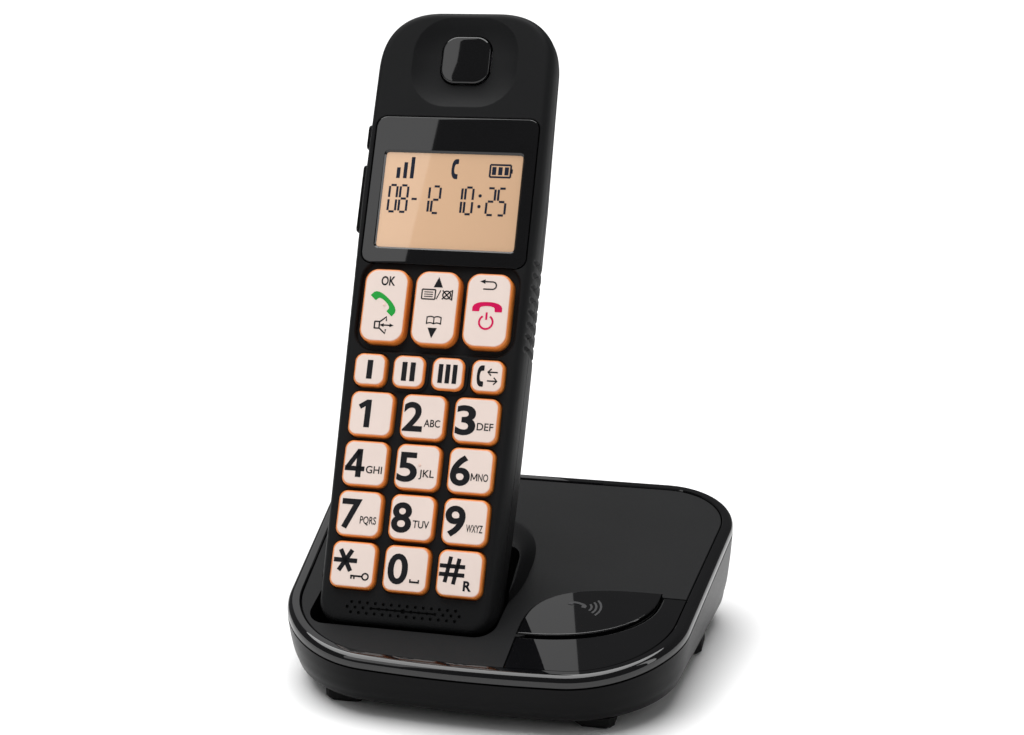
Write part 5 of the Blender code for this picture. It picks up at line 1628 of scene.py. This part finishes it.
def build_camera(stage):
    """The camera: at its place, looking down by the elevation and left by the azimuth."""
    data = bpy.data.cameras.new("camera")
    data.lens = stage.lens
    data.sensor_width = 36.0
    data.clip_start = 0.01
    camera = bpy.data.objects.new("camera", data)
    camera.location = stage.camera_place
    flat = math.cos(stage.elevation)
    across, ahead = -math.sin(stage.azimuth) * flat, math.cos(stage.azimuth) * flat
    look = Vector((across, ahead, -math.sin(stage.elevation)))
    camera.rotation_euler = look.to_track_quat("-Z", "Y").to_euler()
    bpy.context.scene.collection.objects.link(camera)
    bpy.context.scene.camera = camera


def build_stage(stage):
    """A pale round floor, an even sky, a broad overhead sun and three soft boxes."""
    recipe = Recipe("floor_pale")
    cloud = recipe.noise(6.0)
    recipe.set(base_color=recipe.between((0.90, 0.90, 0.90), (0.93, 0.93, 0.93), cloud), roughness=0.9)
    plan = circle(stage.floor_radius, count=97)
    floor = make_piece("floor", prism(plan, -0.02, 0.0))
    floor.data.materials.append(recipe.material)

    world = bpy.data.worlds.new("studio")
    world.use_nodes = True
    world.node_tree.nodes["Background"].inputs["Color"].default_value = (1.0, 1.0, 1.0, 1.0)
    world.node_tree.nodes["Background"].inputs["Strength"].default_value = SKY_STRENGTH
    bpy.context.scene.world = world
    bpy.context.scene.view_settings.view_transform = "Standard"

    sun = bpy.data.lights.new("sun", "SUN")
    sun.energy = SUN_STRENGTH
    sun.angle = SUN_SPREAD
    holder = bpy.data.objects.new("sun", sun)
    holder.rotation_euler = (math.radians(-8), math.radians(-10), 0.0)
    bpy.context.scene.collection.objects.link(holder)

    panel = Vector((HANDSET_X, 0.017, 0.122))
    leaf = Vector((0.028, -0.030, 0.022))
    light("panel_box", (-0.553, -0.70, 0.85), panel, (0.46, 0.9), 2.0, turn=math.radians(13))
    light("deck_box", (-0.43, 0.85, 0.72), leaf, (0.50, 0.7), 0.85, turn=math.radians(-8))
    light("side_box", (0.75, -0.10, 0.40), (0.0, 0.0, 0.06), (0.12, 0.7), 0.8)


# ---------------------------------------------------------------- add-on


class PHONE_OT_camera(bpy.types.Operator):
    """Place the camera"""

    bl_idname = "phone.camera"
    bl_label = "Camera"

    def execute(self, context):
        build_camera(context.scene.telephone_stage)
        return {"FINISHED"}


class PHONE_OT_front_cover(bpy.types.Operator):
    """Build the handset's front cover"""

    bl_idname = "phone.front_cover"
    bl_label = "Front cover"

    def execute(self, context):
        build_front_cover(context.scene.telephone_sizes)
        return {"FINISHED"}


class PHONE_OT_rear_cover(bpy.types.Operator):
    """Build the handset's rear cover"""

    bl_idname = "phone.rear_cover"
    bl_label = "Rear cover"

    def execute(self, context):
        build_rear_cover(context.scene.telephone_sizes)
        return {"FINISHED"}


class PHONE_OT_battery_door(bpy.types.Operator):
    """Build the battery door"""

    bl_idname = "phone.battery_door"
    bl_label = "Battery door"

    def execute(self, context):
        build_battery_cover()
        return {"FINISHED"}


class PHONE_OT_keys(bpy.types.Operator):
    """Build the key caps"""

    bl_idname = "phone.keys"
    bl_label = "Keys"

    def execute(self, context):
        build_key_caps(context.scene.telephone_sizes)
        return {"FINISHED"}


class PHONE_OT_side_keys(bpy.types.Operator):
    """Build the volume and tone keys"""

    bl_idname = "phone.side_keys"
    bl_label = "Side keys"

    def execute(self, context):
        build_side_keys()
        return {"FINISHED"}


class PHONE_OT_symbols(bpy.types.Operator):
    """Print the symbols on the keys"""

    bl_idname = "phone.symbols"
    bl_label = "Key symbols"

    def execute(self, context):
        build_key_symbols(context.scene.telephone_sizes)
        return {"FINISHED"}


class PHONE_OT_display(bpy.types.Operator):
    """Build the display and what it shows"""

    bl_idname = "phone.display"
    bl_label = "Display"

    def execute(self, context):
        build_display()
        build_segments()
        return {"FINISHED"}


class PHONE_OT_earpiece(bpy.types.Operator):
    """Build the earpiece insert"""

    bl_idname = "phone.earpiece"
    bl_label = "Earpiece"

    def execute(self, context):
        build_earpiece()
        return {"FINISHED"}


class PHONE_OT_base_shell(bpy.types.Operator):
    """Build the base's bottom shell"""

    bl_idname = "phone.base_shell"
    bl_label = "Base shell"

    def execute(self, context):
        build_bottom_shell()
        return {"FINISHED"}


class PHONE_OT_trim_band(bpy.types.Operator):
    """Build the gloss band round the base"""

    bl_idname = "phone.trim_band"
    bl_label = "Trim band"

    def execute(self, context):
        build_trim_band()
        return {"FINISHED"}


class PHONE_OT_deck(bpy.types.Operator):
    """Build the deck and the cradle's well"""

    bl_idname = "phone.deck"
    bl_label = "Deck and cradle"

    def execute(self, context):
        build_top_cover()
        build_cradle_well()
        return {"FINISHED"}


class PHONE_OT_corner_panel(bpy.types.Operator):
    """Build the gloss corner panel"""

    bl_idname = "phone.corner_panel"
    bl_label = "Corner panel"

    def execute(self, context):
        build_corner_panel()
        return {"FINISHED"}


class PHONE_OT_page_button(bpy.types.Operator):
    """Build the page button and its symbol"""

    bl_idname = "phone.page_button"
    bl_label = "Page button"

    def execute(self, context):
        build_page_button()
        build_page_symbol()
        return {"FINISHED"}


class PHONE_OT_fittings(bpy.types.Operator):
    """Finish the boards, cells, contacts, jacks, screws and feet"""

    bl_idname = "phone.fittings"
    bl_label = "Fittings"

    def execute(self, context):
        finish_nodes()
        return {"FINISHED"}


class PHONE_OT_stage(bpy.types.Operator):
    """Set up the floor and the lights"""

    bl_idname = "phone.stage"
    bl_label = "Stage"

    def execute(self, context):
        build_stage(context.scene.telephone_stage)
        return {"FINISHED"}


OPERATORS = (
    PHONE_OT_camera,
    PHONE_OT_front_cover,
    PHONE_OT_rear_cover,
    PHONE_OT_battery_door,
    PHONE_OT_keys,
    PHONE_OT_side_keys,
    PHONE_OT_symbols,
    PHONE_OT_display,
    PHONE_OT_earpiece,
    PHONE_OT_base_shell,
    PHONE_OT_trim_band,
    PHONE_OT_deck,
    PHONE_OT_corner_panel,
    PHONE_OT_page_button,
    PHONE_OT_fittings,
    PHONE_OT_stage,
)


class PHONE_PT_panel(bpy.types.Panel):
    """The build steps, their sizes and their colours"""

    bl_idname = "PHONE_PT_panel"
    bl_label = "Cordless telephone"
    bl_space_type = "VIEW_3D"
    bl_region_type = "UI"
    bl_category = "Telephone"

    def draw(self, context):
        for operator in OPERATORS:
            self.layout.operator(operator.bl_idname)
        scene = context.scene
        for group in (scene.telephone_sizes, scene.telephone_colours, scene.telephone_stage):
            column = self.layout.column()
            for name in group.__annotations__:
                column.prop(group, name)


CLASSES = (TelephoneColours, TelephoneSizes, TelephoneStage, *OPERATORS, PHONE_PT_panel)


def register():
    """Registers the classes and puts the property groups on the scene."""
    for entry in CLASSES:
        bpy.utils.register_class(entry)
    bpy.types.Scene.telephone_colours = PointerProperty(type=TelephoneColours)
    bpy.types.Scene.telephone_sizes = PointerProperty(type=TelephoneSizes)
    bpy.types.Scene.telephone_stage = PointerProperty(type=TelephoneStage)


def unregister():
    """Takes the property groups off the scene and removes the classes."""
    del bpy.types.Scene.telephone_stage
    del bpy.types.Scene.telephone_sizes
    del bpy.types.Scene.telephone_colours
    for entry in reversed(CLASSES):
        bpy.utils.unregister_class(entry)


def main():
    """Builds everything in order."""
    register()
    for operator in OPERATORS:
        group, name = operator.bl_idname.split(".")
        getattr(getattr(bpy.ops, group), name)()
    bpy.context.view_layer.update()


if __name__ == "__main__":
    main()
